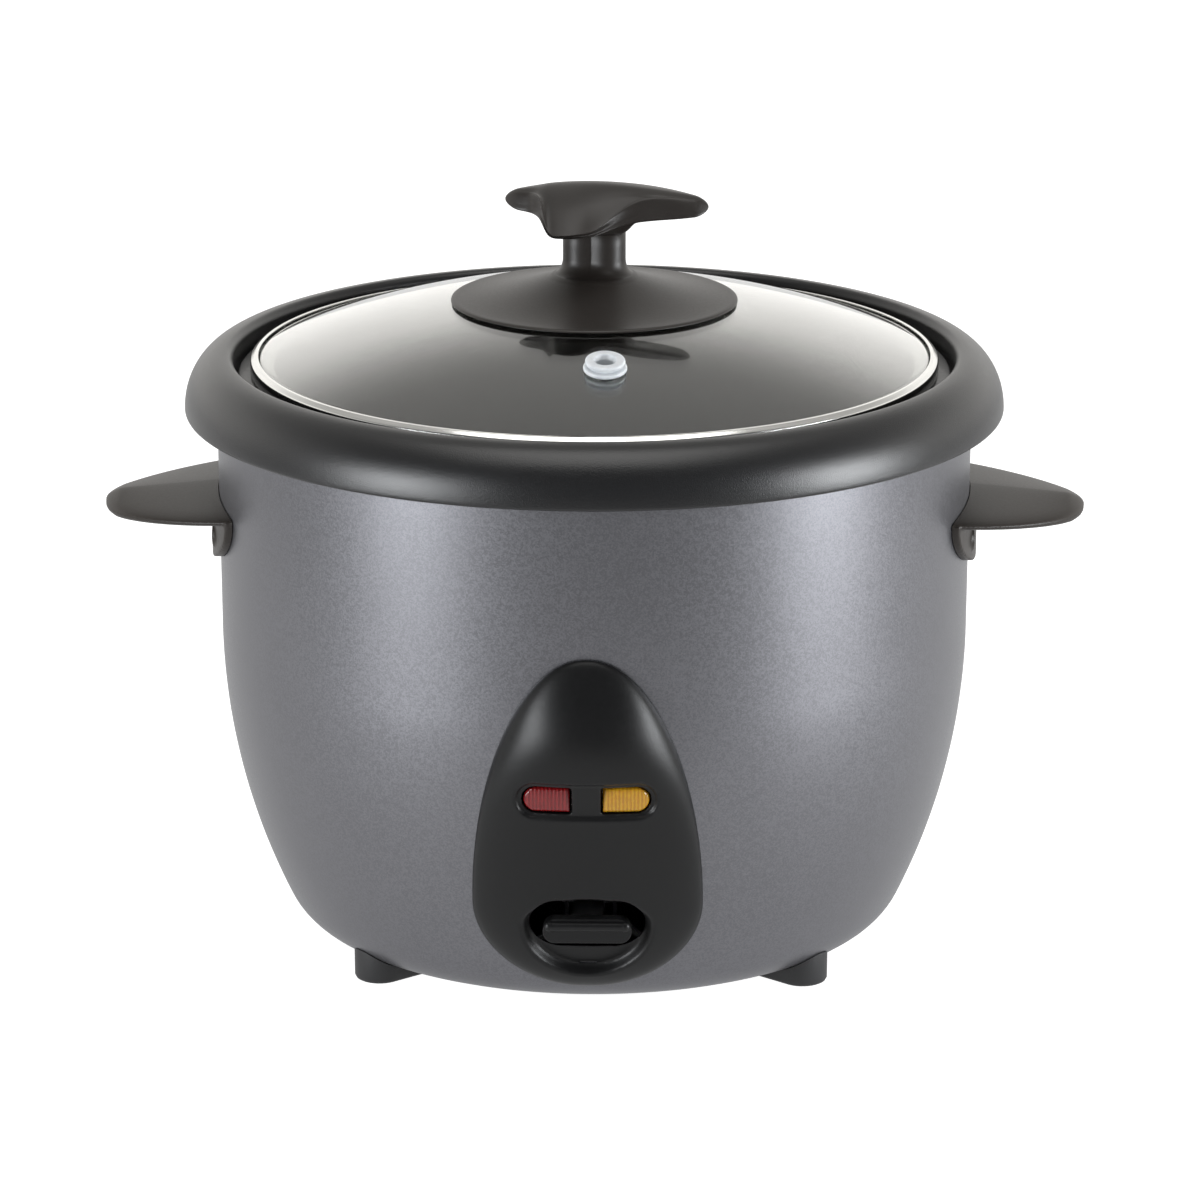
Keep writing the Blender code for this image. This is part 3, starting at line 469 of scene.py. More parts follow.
def coloured_lens(shader, place, colour, deep):
    """Clear coloured plastic, paler where its ribs are thin."""
    across = node("SeparateXYZ", {0: place}).outputs[0]
    wave = maths("SINE", maths("MULTIPLY", across, 2 * pi / (LENS_PITCH * MM)))
    rib = weighted(wave, 0.3, noise(place, 1.4, 2.0))
    dress(shader, Base_Color=shades(rib, deep, colour), Roughness=spread(noise(place, 0.8), 0.16, 0.28),
          Normal=bump(noise(place, 1.0, 2.0), 0.01), Transmission_Weight=0.18, Subsurface_Weight=0.25,
          Subsurface_Radius=(2 * MM, 1 * MM, 0.5 * MM), Coat_Weight=0.15)


def clear_glass(shader, place, colour, haze):
    """Toughened glass: faintly hazy and wavy within, with a sharp gloss on top."""
    cloud = noise(place, 30.0, 2.0)
    dress(shader, Base_Color=shades(cloud, scaled(colour, 0.97), colour),
          Roughness=spread(noise(place, 9.0), haze * 0.5, haze), Normal=bump(cloud, 0.02, 0.3),
          Transmission_Weight=1.0, IOR=1.5, Coat_Weight=1.0, Coat_Roughness=0.01)


def turning_marks(place, along, across, detail, roughness=0.5):
    """Noise drawn out round the drum's axis."""
    inputs = {"Vector": around_axis(place, along, across), "Scale": 1.0, "Detail": detail,
              "Roughness": roughness}
    return node("TexNoise", inputs).outputs["Fac"]


def turned_metal(shader, place, colour, roughness):
    """Metal with fine marks round the drum's axis, as spinning or turning leaves."""
    marks = turning_marks(place, 6.0, 900.0, 4.0, 0.7)
    both = weighted(marks, 0.7, noise(place, 22.0, 4.0), 0.3)
    dress(shader, Base_Color=shades(both, scaled(colour, 0.86), colour),
          Roughness=spread(both, roughness * 0.7, roughness * 1.3), Normal=bump(marks, 0.006), Metallic=1.0)


def rolled_steel(shader, place, colour, roughness):
    """Unpainted strip and wire: a straight rolling grain and faint smears."""
    stretch = node("Mapping", {"Vector": place, "Scale": (60.0, 1500.0, 1500.0)}).outputs[0]
    grain = node("TexNoise", {"Vector": stretch, "Scale": 1.0, "Detail": 4.0}).outputs["Fac"]
    both = weighted(grain, 0.5, noise(place, 12.0, 4.0), 0.5)
    dress(shader, Base_Color=shades(both, scaled(colour, 0.8), colour),
          Roughness=spread(both, roughness * 0.7, roughness * 1.35), Normal=bump(grain, 0.004), Metallic=1.0)


def cast_metal(shader, place, colour, roughness):
    """Cast aluminium: sandy relief with turning marks over it."""
    marks = turning_marks(place, 4.0, 1100.0, 3.0)
    both = weighted(noise(place, 0.9, 5.0, 0.7), 0.5, marks, 0.5)
    dress(shader, Base_Color=shades(both, scaled(colour, 0.8), colour),
          Roughness=spread(both, roughness - 0.08, roughness + 0.12), Normal=bump(both, 0.02), Metallic=1.0)


def non_stick(shader, place):
    """Dark sprayed coating with pale specks, over spun aluminium."""
    spot = spread(cells(place, 1.1), 1.0, 0.0, 0.02, 0.12)
    tone = weighted(noise(place, 8.0, 3.0), 0.55, spot, 0.5)
    dress(shader, Base_Color=shades(tone, (0.022, 0.022, 0.023), (0.05, 0.05, 0.052)),
          Roughness=spread(noise(place, 1.5), 0.34, 0.5), Normal=bump(noise(place, 0.9, 4.0), 0.012),
          Coat_Weight=0.1)


def silicone(shader, place):
    """Translucent milky silicone with a soft bloom."""
    cloud = noise(place, 3.0, 3.0)
    dress(shader, Base_Color=shades(cloud, (0.70, 0.73, 0.76), (0.84, 0.86, 0.88)),
          Roughness=spread(noise(place, 0.7), 0.3, 0.45), Normal=bump(noise(place, 0.6), 0.006),
          Transmission_Weight=0.2, Subsurface_Weight=0.5, Subsurface_Radius=(2 * MM, 2 * MM, 2 * MM))


def mineral(shader, place, dark, light, grain, depth):
    """Dull sintered, pressed or layered mineral."""
    powder = noise(place, grain, 5.0, 0.7)
    both = weighted(powder, 0.5, noise(place, grain * 12, 3.0), 0.5)
    dress(shader, Base_Color=shades(both, dark, light), Roughness=spread(powder, 0.55, 0.8),
          Normal=bump(powder, depth))


def make_materials():
    return {
        "shell_paint": made("metallic_paint", metallic_paint, (0.162, 0.162, 0.174)),
        "rim_plastic": made("rim_black", moulded_plastic, (0.008, 0.008, 0.0085), 0.31, 0.5, 0.05),
        "panel_plastic": made("panel_black", moulded_plastic, (0.005, 0.005, 0.0052), 0.36, 1.3, 0.006,
                              specular=0.26),
        "handle_plastic": made("handle_charcoal", moulded_plastic, (0.021, 0.0172, 0.0145), 0.42, 0.8, 0.012,
                               specular=0.3),
        "knob_plastic": made("knob_charcoal", moulded_plastic, (0.0165, 0.0135, 0.0115), 0.42, 0.8, 0.010,
                             specular=0.4),
        "foot_plastic": made("foot_black", moulded_plastic, (0.014, 0.014, 0.015), 0.5, 0.9, 0.02),
        "inlet_plastic": made("inlet_black", moulded_plastic, (0.02, 0.02, 0.02), 0.48, 0.7, 0.02),
        "white_plastic": made("switch_white", moulded_plastic, (0.72, 0.72, 0.69), 0.4, 0.9, 0.01, 0.04),
        "red_lens": made("red_plastic", coloured_lens, (0.215, 0.006, 0.008), (0.14, 0.003, 0.004)),
        "amber_lens": made("amber_plastic", coloured_lens, (0.52, 0.275, 0.010), (0.40, 0.185, 0.006)),
        "lamp_glass": made("lamp_clear", clear_glass, (0.95, 0.93, 0.9), 0.05),
        "lid_glass": made("lid_clear", clear_glass, (0.80, 0.81, 0.785), 0.11),
        "bright_steel": made("bright_rim_steel", turned_metal, (0.80, 0.80, 0.78), 0.16),
        "bare_steel": made("bare_strip", rolled_steel, (0.52, 0.52, 0.53), 0.34),
        "spring_steel": made("spring_wire", rolled_steel, (0.6, 0.6, 0.62), 0.26),
        "cast_aluminium": made("cast_plate", cast_metal, (0.60, 0.60, 0.59), 0.42),
        "pot_coating": made("non_stick", non_stick),
        "silicone": made("milky_silicone", silicone),
        "ferrite": made("ferrite_grey", mineral, (0.045, 0.045, 0.047), (0.085, 0.083, 0.08), 0.5, 0.03),
        "inner_ceramic": made("pale_ceramic", mineral, (0.62, 0.6, 0.54), (0.8, 0.78, 0.71), 0.6, 0.03),
        "mica_band": made("mica_brown", mineral, (0.36, 0.28, 0.17), (0.6, 0.5, 0.34), 1.2, 0.05),
        "brass_parts": made("drawn_brass", rolled_steel, (0.72, 0.52, 0.24), 0.3),
        "live_sleeve": made("live_brown", moulded_plastic, (0.24, 0.085, 0.035), 0.45, 0.5, 0.01),
        "neutral_sleeve": made("neutral_blue", moulded_plastic, (0.03, 0.10, 0.40), 0.45, 0.5, 0.01),
    }


MATERIALS = make_materials()


# ---------- drum, rim and base

def drum_side(proud):
    """The drum's side from the top edge to the floor, moved outwards by proud."""
    arc_centre_r = WALL_R - BELLY_ARC_R
    corner_z = FLOOR_Z + CORNER_R
    reach = BELLY_ARC_R - CORNER_R
    corner_r = arc_centre_r + sqrt(reach ** 2 - (BELLY_Z - corner_z) ** 2)
    meet = -degrees(asin((BELLY_Z - corner_z) / reach))
    side = []
    wall_steps = 24
    for i in range(wall_steps):
        share = i / wall_steps
        side.append((WALL_TOP_R + (WALL_R - WALL_TOP_R) * share + proud,
                     WALL_TOP_Z + (BELLY_Z - WALL_TOP_Z) * share))
    big = BELLY_ARC_R + proud
    small = CORNER_R + proud
    side += arc((arc_centre_r, BELLY_Z), (big, big), 0, meet, 44)
    return side + arc((corner_r, corner_z), (small, small), meet, -90, 16)[1:]


def drum_body(proud):
    """The whole drum as a solid, used to shape what is fixed to its outside."""
    side = drum_side(proud)
    return turned("drum_body", [(0, side[0][1])] + side + [(0, side[-1][1])])


def foot_places():
    """Each foot's name and the place of its screw."""
    x = FOOT_SCREW_R * cos(FOOT_ANGLE)
    y = FOOT_SCREW_R * sin(FOOT_ANGLE)
    return [("front_left", -x, -y), ("front_right", x, -y), ("rear_left", -x, y), ("rear_right", x, y)]


def screw_line(side, y, near, far):
    """The two ends of a line along a handle screw."""
    return (side * near, y, HANDLE_SCREW_Z), (side * far, y, HANDLE_SCREW_Z)


def make_drum():
    floor = [(SHELL_FLOOR_HOLE_R, FLOOR_Z), (SHELL_FLOOR_HOLE_R, FLOOR_Z + SHELL_T)]
    drum = turned("drum", drum_side(0) + floor + drum_side(-SHELL_T)[::-1])
    cut(drum,
        box((-24, -130, 71), (24, -60, 91)),
        box((-SLOT_HALF_W - 1, -130, SLOT_Z[0] - 1), (SLOT_HALF_W + 1, -60, SLOT_Z[1] + 1)),
        box((-15.4, 60, INLET_Z - 10.4), (15.4, 130, INLET_Z + 10.4)))
    for side in (-1, 1):
        for y in HANDLE_SCREW_YS:
            cut(drum, rod(2.0, *screw_line(side, y, 110, 126), 16))
    for _, x, y in foot_places():
        cut(drum, rod(2.0, (x, y, 2), (x, y, 7), 16))
    settle(drum, "housing", "shell_paint", "outer_shell")


def make_rim():
    """A convex ring with a groove underneath that takes the drum's top edge."""
    crown = (RIM_R - RIM_CREST_R, RIM_CREST_Z - RIM_LIP_Z)
    inner_edge = arc((RIM_CREST_R, RIM_CREST_Z - 2.8), (RIM_CREST_R - RIM_BORE_R, 2.8), 180, 90, 8)
    outside = inner_edge[:-1] + arc((RIM_CREST_R, RIM_LIP_Z), crown, 90, 0, 40)
    lip = arc((RIM_R - 0.9, RIM_LIP_Z), (0.9, 0.9), 0, -90, 5)[1:] + [(RIM_GROOVE_R[1], RIM_LIP_Z - 1.2)]
    groove_top = WALL_TOP_Z + 0.6
    groove = [(RIM_GROOVE_R[1], groove_top), (RIM_GROOVE_R[0], groove_top)]
    skirt = [(RIM_GROOVE_R[0], RIM_SKIRT_Z), (RIM_BORE_R, RIM_SKIRT_Z)]
    rim = turned("top_rim", outside + lip + groove + skirt, 256)
    settle(rim, "housing", "rim_plastic", "rim_ring")


def make_base():
    """The pressed bottom plate, with a raised ring and eight round-ended vents."""
    top = BASE_Z + 1.2
    outline = rounded([(0, top, 0), (18, top, 3), (21, top + 1.2, 3), (24, top + 1.2, 3), (26, top, 3),
                       (BASE_R, top, 0.5), (BASE_R, BASE_Z, 0.5), (26, BASE_Z, 3), (24, top, 3), (21, top, 3),
                       (18, BASE_Z, 3), (0, BASE_Z, 0)])
    base = turned("bottom_plate", outline, 96)
    for _, x, y in foot_places():
        cut(base, rod(2.0, (x, y, 4), (x, y, 9), 16))
    slot_line = arc((50, 0), (1.6, 1.6), -90, 90, 8) + arc((28, 0), (1.6, 1.6), 90, 270, 8)
    for i in range(8):
        cut(base, prism("cut_vent", slot_line, 3, 10, Matrix.Rotation(radians(22.5 + 45 * i), 3, "Z")))
    settle(base, "housing", "bare_steel", "base_plate")


def stadium(half_w, inner, outer, inset=0.0):
    """A round-ended outline along X."""
    half_w -= inset
    return arc((outer, 0), (half_w, half_w), -90, 90, 16) + arc((inner, 0), (half_w, half_w), 90, 270, 16)


def make_feet():
    """Round-ended feet with a soft lower edge and a counterbored screw."""
    levels = [(0.0, 1.3), (0.4, 0.5), (1.3, 0.0), (12.4, -0.1)]
    for name, x, y in foot_places():
        turn = Matrix.Rotation(atan2(y, x), 3, "Z")
        rings = []
        for z, inset in levels:
            outline = stadium(FOOT_HALF_W, FOOT_INNER_R, FOOT_R, inset)
            rings.append([turn @ (Vector((u, v, z)) * MM) for u, v in outline])
        foot = lofted("stand_" + name, rings)
        cut(foot, drum_body(GAP), rod(4.2, (x, y, -1), (x, y, 2.6), 32), rod(1.9, (x, y, 2), (x, y, 10), 24))
        settle(foot, "housing", "foot_plastic", "foot_" + name)


# ---------- screws

def make_screw(tag, body, base, tip, head_r, head_h, shank_r):
    """A pan-head screw with a cross recess, whose head starts at base."""
    base, tip = Vector(base), Vector(tip)
    length = (tip - base).length
    outline = rounded([(0, 0, 0), (head_r * 0.86, 0, head_h * 0.5), (head_r, head_h, 0.25),
                       (shank_r, head_h, 0.2), (shank_r, length - 1, 0.3), (shank_r * 0.5, length, 0.2),
                       (0, length, 0)])
    piece = turned("fixing_" + tag, outline, 32)
    arm = head_r * 0.55
    for angle in (0, pi / 2):
        blade = box((-arm, -head_r * 0.12, -1), (arm, head_r * 0.12, head_h * 0.55))
        blade.data.transform(Matrix.Rotation(angle + 0.4, 4, "Z"))
        cut(piece, blade)
    turn = (tip - base).to_track_quat("Z", "Y").to_matrix().to_4x4()
    piece.data.transform(Matrix.Translation(base * MM) @ turn)
    settle(piece, body, "bare_steel", tag)


def make_screws():
    for side, side_name in ((-1, "left"), (1, "right")):
        for y, y_name in zip(HANDLE_SCREW_YS, ("front", "rear")):
            make_screw("handle_screw_%s_%s" % (side_name, y_name), "housing",
                       *screw_line(side, y, *HANDLE_SCREW_X), 3.4, 2.4, 1.6)
    for name, x, y in foot_places():
        make_screw("foot_screw_" + name, "housing", (x, y, 0.6), (x, y, 11.0), 3.6, 1.8, 1.6)
    for number, (x, y) in enumerate(bolt_places(), 1):
        make_screw("plate_bolt_%d" % number, "housing", (x, y, 40.8), (x, y, 52), 3.6, 2.8, 1.7)
    make_screw("knob_screw", "lid", (0, 0, dome_z(0) - GLASS_T - 4.6), (0, 0, 225), 5.0, 2.6, 1.8)


# ---------- handles

def handle_half_width(x):
    """Half the handle's width at this distance from the axis."""
    reach = min(max((x - HANDLE_ROOT_X) / (HANDLE_TIP_X - HANDLE_ROOT_X), 0), 1)
    cosine = reach ** (1 / HANDLE_POINT)
    return HANDLE_HALF_W * sqrt(max(1 - cosine ** 2, 0))


def handle_section(x, side):
    """A lens-shaped slice: a crowned top that grows keener to the tip, hollow underneath."""
    half_w = max(handle_half_width(x), 0.6)
    slim = min(half_w / 16, 1)
    top = HANDLE_Z - (x - WALL_R) * tan(HANDLE_DROOP)
    ring = []
    steps = 40
    for j in range(steps + 1):
        u = -cos(pi * j / steps)
        crown = HANDLE_CROWN * slim * (1 - abs(u) ** 1.35)
        ring.append((side * x, u * half_w, top - 1.6 + crown + 1.2 * sqrt(max(1 - u ** 8, 0))))
    for j in range(steps - 1, 0, -1):
        u = -cos(pi * j / steps)
        hollow = HANDLE_HOLLOW * 0.55 * slim * max(1 - (abs(u) / 0.86) ** 4, 0)
        ring.append((side * x, u * half_w, top - 1.6 - 2.2 * slim * sqrt(max(1 - u ** 10, 0)) + hollow))
    return [Vector(point) * MM for point in ring]


def make_handle(name, side):
    span = HANDLE_TIP_X - HANDLE_ROOT_X
    xs = [HANDLE_ROOT_X - 8 + 8 * i / 4 for i in range(4)]
    xs += [HANDLE_ROOT_X + span * sin(radians(90 * i / 44)) for i in range(45)]
    handle = lofted("side_" + name, [handle_section(x, side) for x in xs])
    outer = WALL_R + SKIRT_T + 0.4
    low = SKIRT_TOP_Z - SKIRT_DEPTH - 2
    skirt = turned("add_skirt", [(outer, SKIRT_TOP_Z + 1), (outer, low), (WALL_R - 4, low),
                                 (WALL_R - 4, SKIRT_TOP_Z + 1)])
    half_moon = arc((0, SKIRT_TOP_Z), (SKIRT_HALF_W, SKIRT_DEPTH), 180, 360, 36)
    half_moon += [(SKIRT_HALF_W, SKIRT_TOP_Z + 3), (-SKIRT_HALF_W, SKIRT_TOP_Z + 3)]
    near, far = sorted((side * 95, side * 135))
    boolean(skirt, prism("keep_skirt", half_moon, near, far, TO_SIDE), "INTERSECT")
    join(handle, skirt)
    for y in HANDLE_SCREW_YS:
        join(handle, rod(3.6, *screw_line(side, y, 117, HANDLE_BOSS_X), 32))
    melt(handle, 0.5, 4)
    cut(handle, drum_body(GAP))
    for y in HANDLE_SCREW_YS:
        cut(handle, rod(1.9, *screw_line(side, y, 112, 120.6), 24))
    settle(handle, "housing", "handle_plastic", name, sharp=55)


# ---------- control panel

def drum_radius(z):
    """The drum's outside radius above its bottom corner."""
    if z >= BELLY_Z:
        return WALL_R + (WALL_TOP_R - WALL_R) * (z - BELLY_Z) / (WALL_TOP_Z - BELLY_Z)
    return WALL_R - BELLY_ARC_R + sqrt(BELLY_ARC_R ** 2 - (BELLY_Z - z) ** 2)


def panel_reach(z):
    return (z - PANEL_MID_Z) / (PANEL_UP if z > PANEL_MID_Z else PANEL_DOWN)


def panel_half_width(z):
    return PANEL_HALF_W * sqrt(max(1 - panel_reach(z) ** 2, 0))


def panel_proud(x, z):
    """How far the panel stands off the drum: flat low down, a rounded nose near its top."""
    nose = exp(-((z - PANEL_NOSE_Z) / PANEL_NOSE_SPREAD) ** 2)
    power = 2.9 - 0.9 * nose
    across = min(abs(x) / max(panel_half_width(z), 0.1), 1.0)
    ends = max(1 - abs(panel_reach(z)) ** 5, 0) ** 0.5
    height = (PANEL_FACE + PANEL_NOSE * nose) * ends
    return GAP + height * (1 - across ** power) ** (1 / power)


def on_drum(x, z, proud):
    return Vector((x, -sqrt((drum_radius(z) + proud) ** 2 - x ** 2), z)) * MM


def softstep(value):
    value = min(max(value, 0.0), 1.0)
    return value * value * (3 - 2 * value)


def panel_face(x, z):
    """The panel's face with the recess round its lamps and the scoop below its key."""
    off_line = hypot(max(abs(x) - (RECESS_HALF_W - RECESS_HALF_H), 0), z - LAMP_Z)
    recess = RECESS_DEPTH * softstep((RECESS_HALF_H - off_line) / 1.0 + 0.5)
    rise = z - DISH_Z
    off_dish = hypot(x / DISH_HALF_W, rise / DISH_REACH[rise > 0])
    dish = DISH_DEPTH * softstep((1 - off_dish) / 0.2)
    return max(panel_proud(x, z) - recess - dish, GAP)


def panel_body():
    """The panel as a solid that follows the drum at its back."""
    levels = 230
    across = 150
    rings = []
    for i in range(levels):
        share = 0.0008 + 0.9984 * (1 - cos(pi * i / (levels - 1))) / 2
        z = PANEL_MID_Z - PANEL_DOWN + (PANEL_UP + PANEL_DOWN) * share
        half_w = panel_half_width(z)
        xs = [half_w * sin(radians(-90 + 180 * j / across)) for j in range(across + 1)]
        face = [on_drum(x, z, panel_face(x, z)) for x in xs]
        rings.append(face + [on_drum(x, z, GAP - 0.05) for x in reversed(xs)])
    return lofted("front_panel", rings)


def lens_edge(dz):
    """The lens's outer end at a height above or below its middle."""
    return LENS_ROUND_X + sqrt(max((LENS_H / 2) ** 2 - dz ** 2, 0))


def window_outline(side, grow=0.55):
    """The hole for a lens, larger than it by grow all round."""
    half_h = LENS_H / 2 + grow
    inner = LAMP_X - LENS_W / 2 - grow
    points = [(inner, LAMP_Z + half_h), (inner, LAMP_Z - half_h)]
    points += arc((LENS_ROUND_X, LAMP_Z), (half_h, half_h), -90, 90, 20)
    return [(side * x, z) for x, z in points]


def ellipsoid(centre, radii):
    solid = bmesh.new()
    bmesh.ops.create_uvsphere(solid, u_segments=32, v_segments=16, radius=1.0)
    for vert in solid.verts:
        vert.co = Vector([(c + v * r) * MM for c, v, r in zip(centre, vert.co, radii)])
    return object_from("ellipsoid", solid)


def make_panel():
    panel = panel_body()
    for side in (-1, 1):
        cut(panel, prism("cut_window", window_outline(side), 80, 140, TO_FRONT))
    half_h = (SLOT_Z[1] - SLOT_Z[0]) / 2
    mid_z = (SLOT_Z[1] + SLOT_Z[0]) / 2
    slot = [(x, z + mid_z) for x, z in stadium(half_h, -SLOT_HALF_W + half_h, SLOT_HALF_W - half_h)]
    cut(panel, prism("cut_slot", slot, 80, 140, TO_FRONT))
    melt(panel, PANEL_VOXEL, 3)
    settle(panel, "housing", "panel_plastic", "control_panel", sharp=60)


def lens_ring(side, z):
    """One level of a lens: along its ribbed face, then back behind it."""
    dz = z - LAMP_Z
    x0 = LAMP_X - LENS_W / 2
    x1 = lens_edge(dz)
    count = 96
    xs = [x0 + (x1 - x0) * i / count for i in range(count + 1)]
    face = []
    for x in xs:
        edge = min(x - x0, x1 - x, LENS_H / 2 - abs(dz))
        near = min(edge / LENS_EDGE, 1)
        soft = LENS_EDGE * (1 - sqrt(max(1 - (1 - near) ** 2, 0)))
        rib = LENS_RIB * cos(2 * pi * (x - x0) / LENS_PITCH) * near
        dome = LENS_CROWN * (1 - (dz / (LENS_H / 2)) ** 2)
        face.append(on_drum(side * x, z, LENS_PROUD - 0.4 - soft + rib + dome))
    return face + [on_drum(side * x, z, -2.0) for x in reversed(xs)]


def make_lenses():
    levels = 34
    for side, name, slot, tag in ((-1, "red_window", "red_lens", "cook_lamp_lens"),
                                  (1, "amber_window", "amber_lens", "warm_lamp_lens")):
        heights = [LAMP_Z - 0.999 * LENS_H / 2 * cos(pi * i / levels) for i in range(levels + 1)]
        settle(lofted(name, [lens_ring(side, z) for z in heights]), "housing", slot, tag)


def make_key():
    """The lever's key: a rounded bar with a raised bead along its upper front edge."""
    low, high = KEY_Z - 3.9, KEY_Z + 4.0
    outline = [(x, z, 3.7) for x, z in ((-13.7, low), (13.7, low), (13.7, high), (-13.7, high))]
    bar = prism("cook_key", rounded(outline, 12), 108.8, 113.4, TO_FRONT)
    ends = [(x, -113.7, 37.0) for x in (-11.6, 11.6)]
    join(bar, rod(1.55, *ends, 32), *[ellipsoid(end, (1.75, 1.7, 1.75)) for end in ends])
    cut(bar, box((-4.9, -112.0, KEY_Z - 1.7), (4.9, -105, KEY_Z + 1.7)))
    melt(bar, 0.22, 3)
    settle(bar, "cook_lever", "panel_plastic", "cook_lever", sharp=70)


# ---------- lid

def dome_z(radius):
    return DOME_TOP_Z - radius ** 2 / (2 * DOME_ARC_R)


def dome_line(start, end, lift, steps):
    radii = [start + (end - start) * i / steps for i in range(steps + 1)]
    return [(r, dome_z(r) + lift) for r in radii]


def vent_place():
    """Moves a piece made about Z at the origin to the vent's seat on the dome."""
    seat = Vector((VENT_X, VENT_Y, dome_z(hypot(VENT_X, VENT_Y)))) * MM
    normal = Vector((VENT_X, VENT_Y, DOME_ARC_R))
    return Matrix.Translation(seat) @ normal.to_track_quat("Z", "Y").to_matrix().to_4x4()


def make_glass():
    edge_z = dome_z(GLASS_R) - GLASS_T / 2
    edge = arc((GLASS_R - 1.0, edge_z), (1.0, GLASS_T / 2 - 0.1), 80, -80, 8)
    glass = turned("glass_dome", dome_line(4.2, GLASS_R - 1.2, 0, 60) + edge
                   + dome_line(GLASS_R - 1.2, 4.2, -GLASS_T, 60))
    hole = rod(4.5, (0, 0, -8), (0, 0, 8), 48)
    hole.data.transform(vent_place())
    cut(glass, hole)
    settle(glass, "lid", "lid_glass", "lid_glass", sharp=50)


def make_lid_band():
    """A rolled steel band: a lip over the glass, a rounded outer bead and a locating skirt."""
    lip_r = GLASS_R - 1.0
    lip_z = dome_z(lip_r) + GAP
    edge_z = dome_z(GLASS_R)
    outline = rounded([
        (lip_r, lip_z + 0.6, 0.2), (GLASS_R, lip_z + 0.5, 0.6), (BAND_R, edge_z + 0.1, 0.9),
        (BAND_R, BAND_Z, 0.8), (102.4, BAND_Z, 0.3), (101.9, BAND_Z - 4, 0.2), (101.2, BAND_Z - 4, 0.2),
        (101.4, BAND_Z + 0.3, 0.3), (102.6, BAND_Z + 0.6, 0.2), (BAND_R - 1.2, BAND_Z + 0.6, 0.3),
        (BAND_R - 1.2, edge_z - 0.1, 0.3), (lip_r, lip_z + 0.1, 0.2)])
    settle(turned("steel_band", outline, 256), "lid", "bright_steel", "lid_band")


def make_vent():
    """A silicone bush gripping the glass, with a bead, a groove and a sunken top."""
    below = -GLASS_T - 0.5
    outline = rounded([
        (2.9, 2.6, 0.3), (3.6, 4.1, 0.4), (6.2, 4.1, 0.7), (6.2, 2.8, 0.6), (5.0, 2.5, 0.3), (5.0, 2.0, 0.3),
        (6.8, 1.8, 0.6), (6.8, 0.5, 0.5), (4.0, 0.5, 0.1), (4.0, below, 0.1), (6.2, below, 0.5),
        (6.0, below - 1.4, 0.6), (2.9, below - 1.4, 0.3)], 6)
    vent = turned("steam_vent", outline, SMALL_STEPS)
    vent.data.transform(vent_place())
    settle(vent, "lid", "silicone", "vent_grommet")


def lobed_radius(angle):
    """The outline of two overlapping circles, which is the stem's section."""
    along = STEM_LOBE_X * abs(cos(angle - STEM_TURN))
    lobed = along + sqrt(STEM_LOBE_R ** 2 - STEM_LOBE_X ** 2 * sin(angle - STEM_TURN) ** 2)
    return (lobed ** 4 + STEM_WAIST_R ** 4) ** 0.25


def knob_base_levels():
    """Radius, height and share of the stem's two-lobed outline, from the bottom up."""
    edge_z = dome_z(DISC_R)
    levels = [(r, z, 0.0) for r, z in dome_line(2.1, DISC_R - 1.0, GAP, 20)]
    levels += [(DISC_R - inset, edge_z + lift, 0.0) for inset, lift in ((0, 0.8), (0.1, 1.2), (0.7, 1.5))]
    slope = 28
    for i in range(1, slope):
        share = i / slope
        radius = DISC_R - 0.7 + (FLARE_R - DISC_R + 0.7) * share
        levels.append((radius, edge_z + 1.5 + 7.7 * share ** 1.6, 0.0))
    fillet = 12
    for i in range(fillet + 1):
        angle = radians(90 * i / fillet)
        levels.append((FLARE_R, edge_z + 9.5 + 5.0 * (1 - cos(angle)), sin(angle)))
    return levels + [(FLARE_R, 226.0, 1.0), (FLARE_R, STEM_TOP_Z - 0.4, 1.0), (0, STEM_TOP_Z, 0.95)]


def make_knob_base():
    """The disc: a shallow trumpet that flares up into a stem of two joined columns."""
    rings = []
    for radius, z, lobed in knob_base_levels():
        ring = []
        for j in range(TURN_STEPS):
            angle = 2 * pi * j / TURN_STEPS
            r = radius * (1 - lobed) + lobed_radius(angle) * lobed
            ring.append(Vector((r * cos(angle), r * sin(angle), z)) * MM)
        rings.append(ring)
    disc = lofted("knob_disc", rings)
    cut(disc, rod(2.1, (0, 0, 200), (0, 0, 226), 32))
    settle(disc, "lid", "knob_plastic", "knob_base", sharp=60)


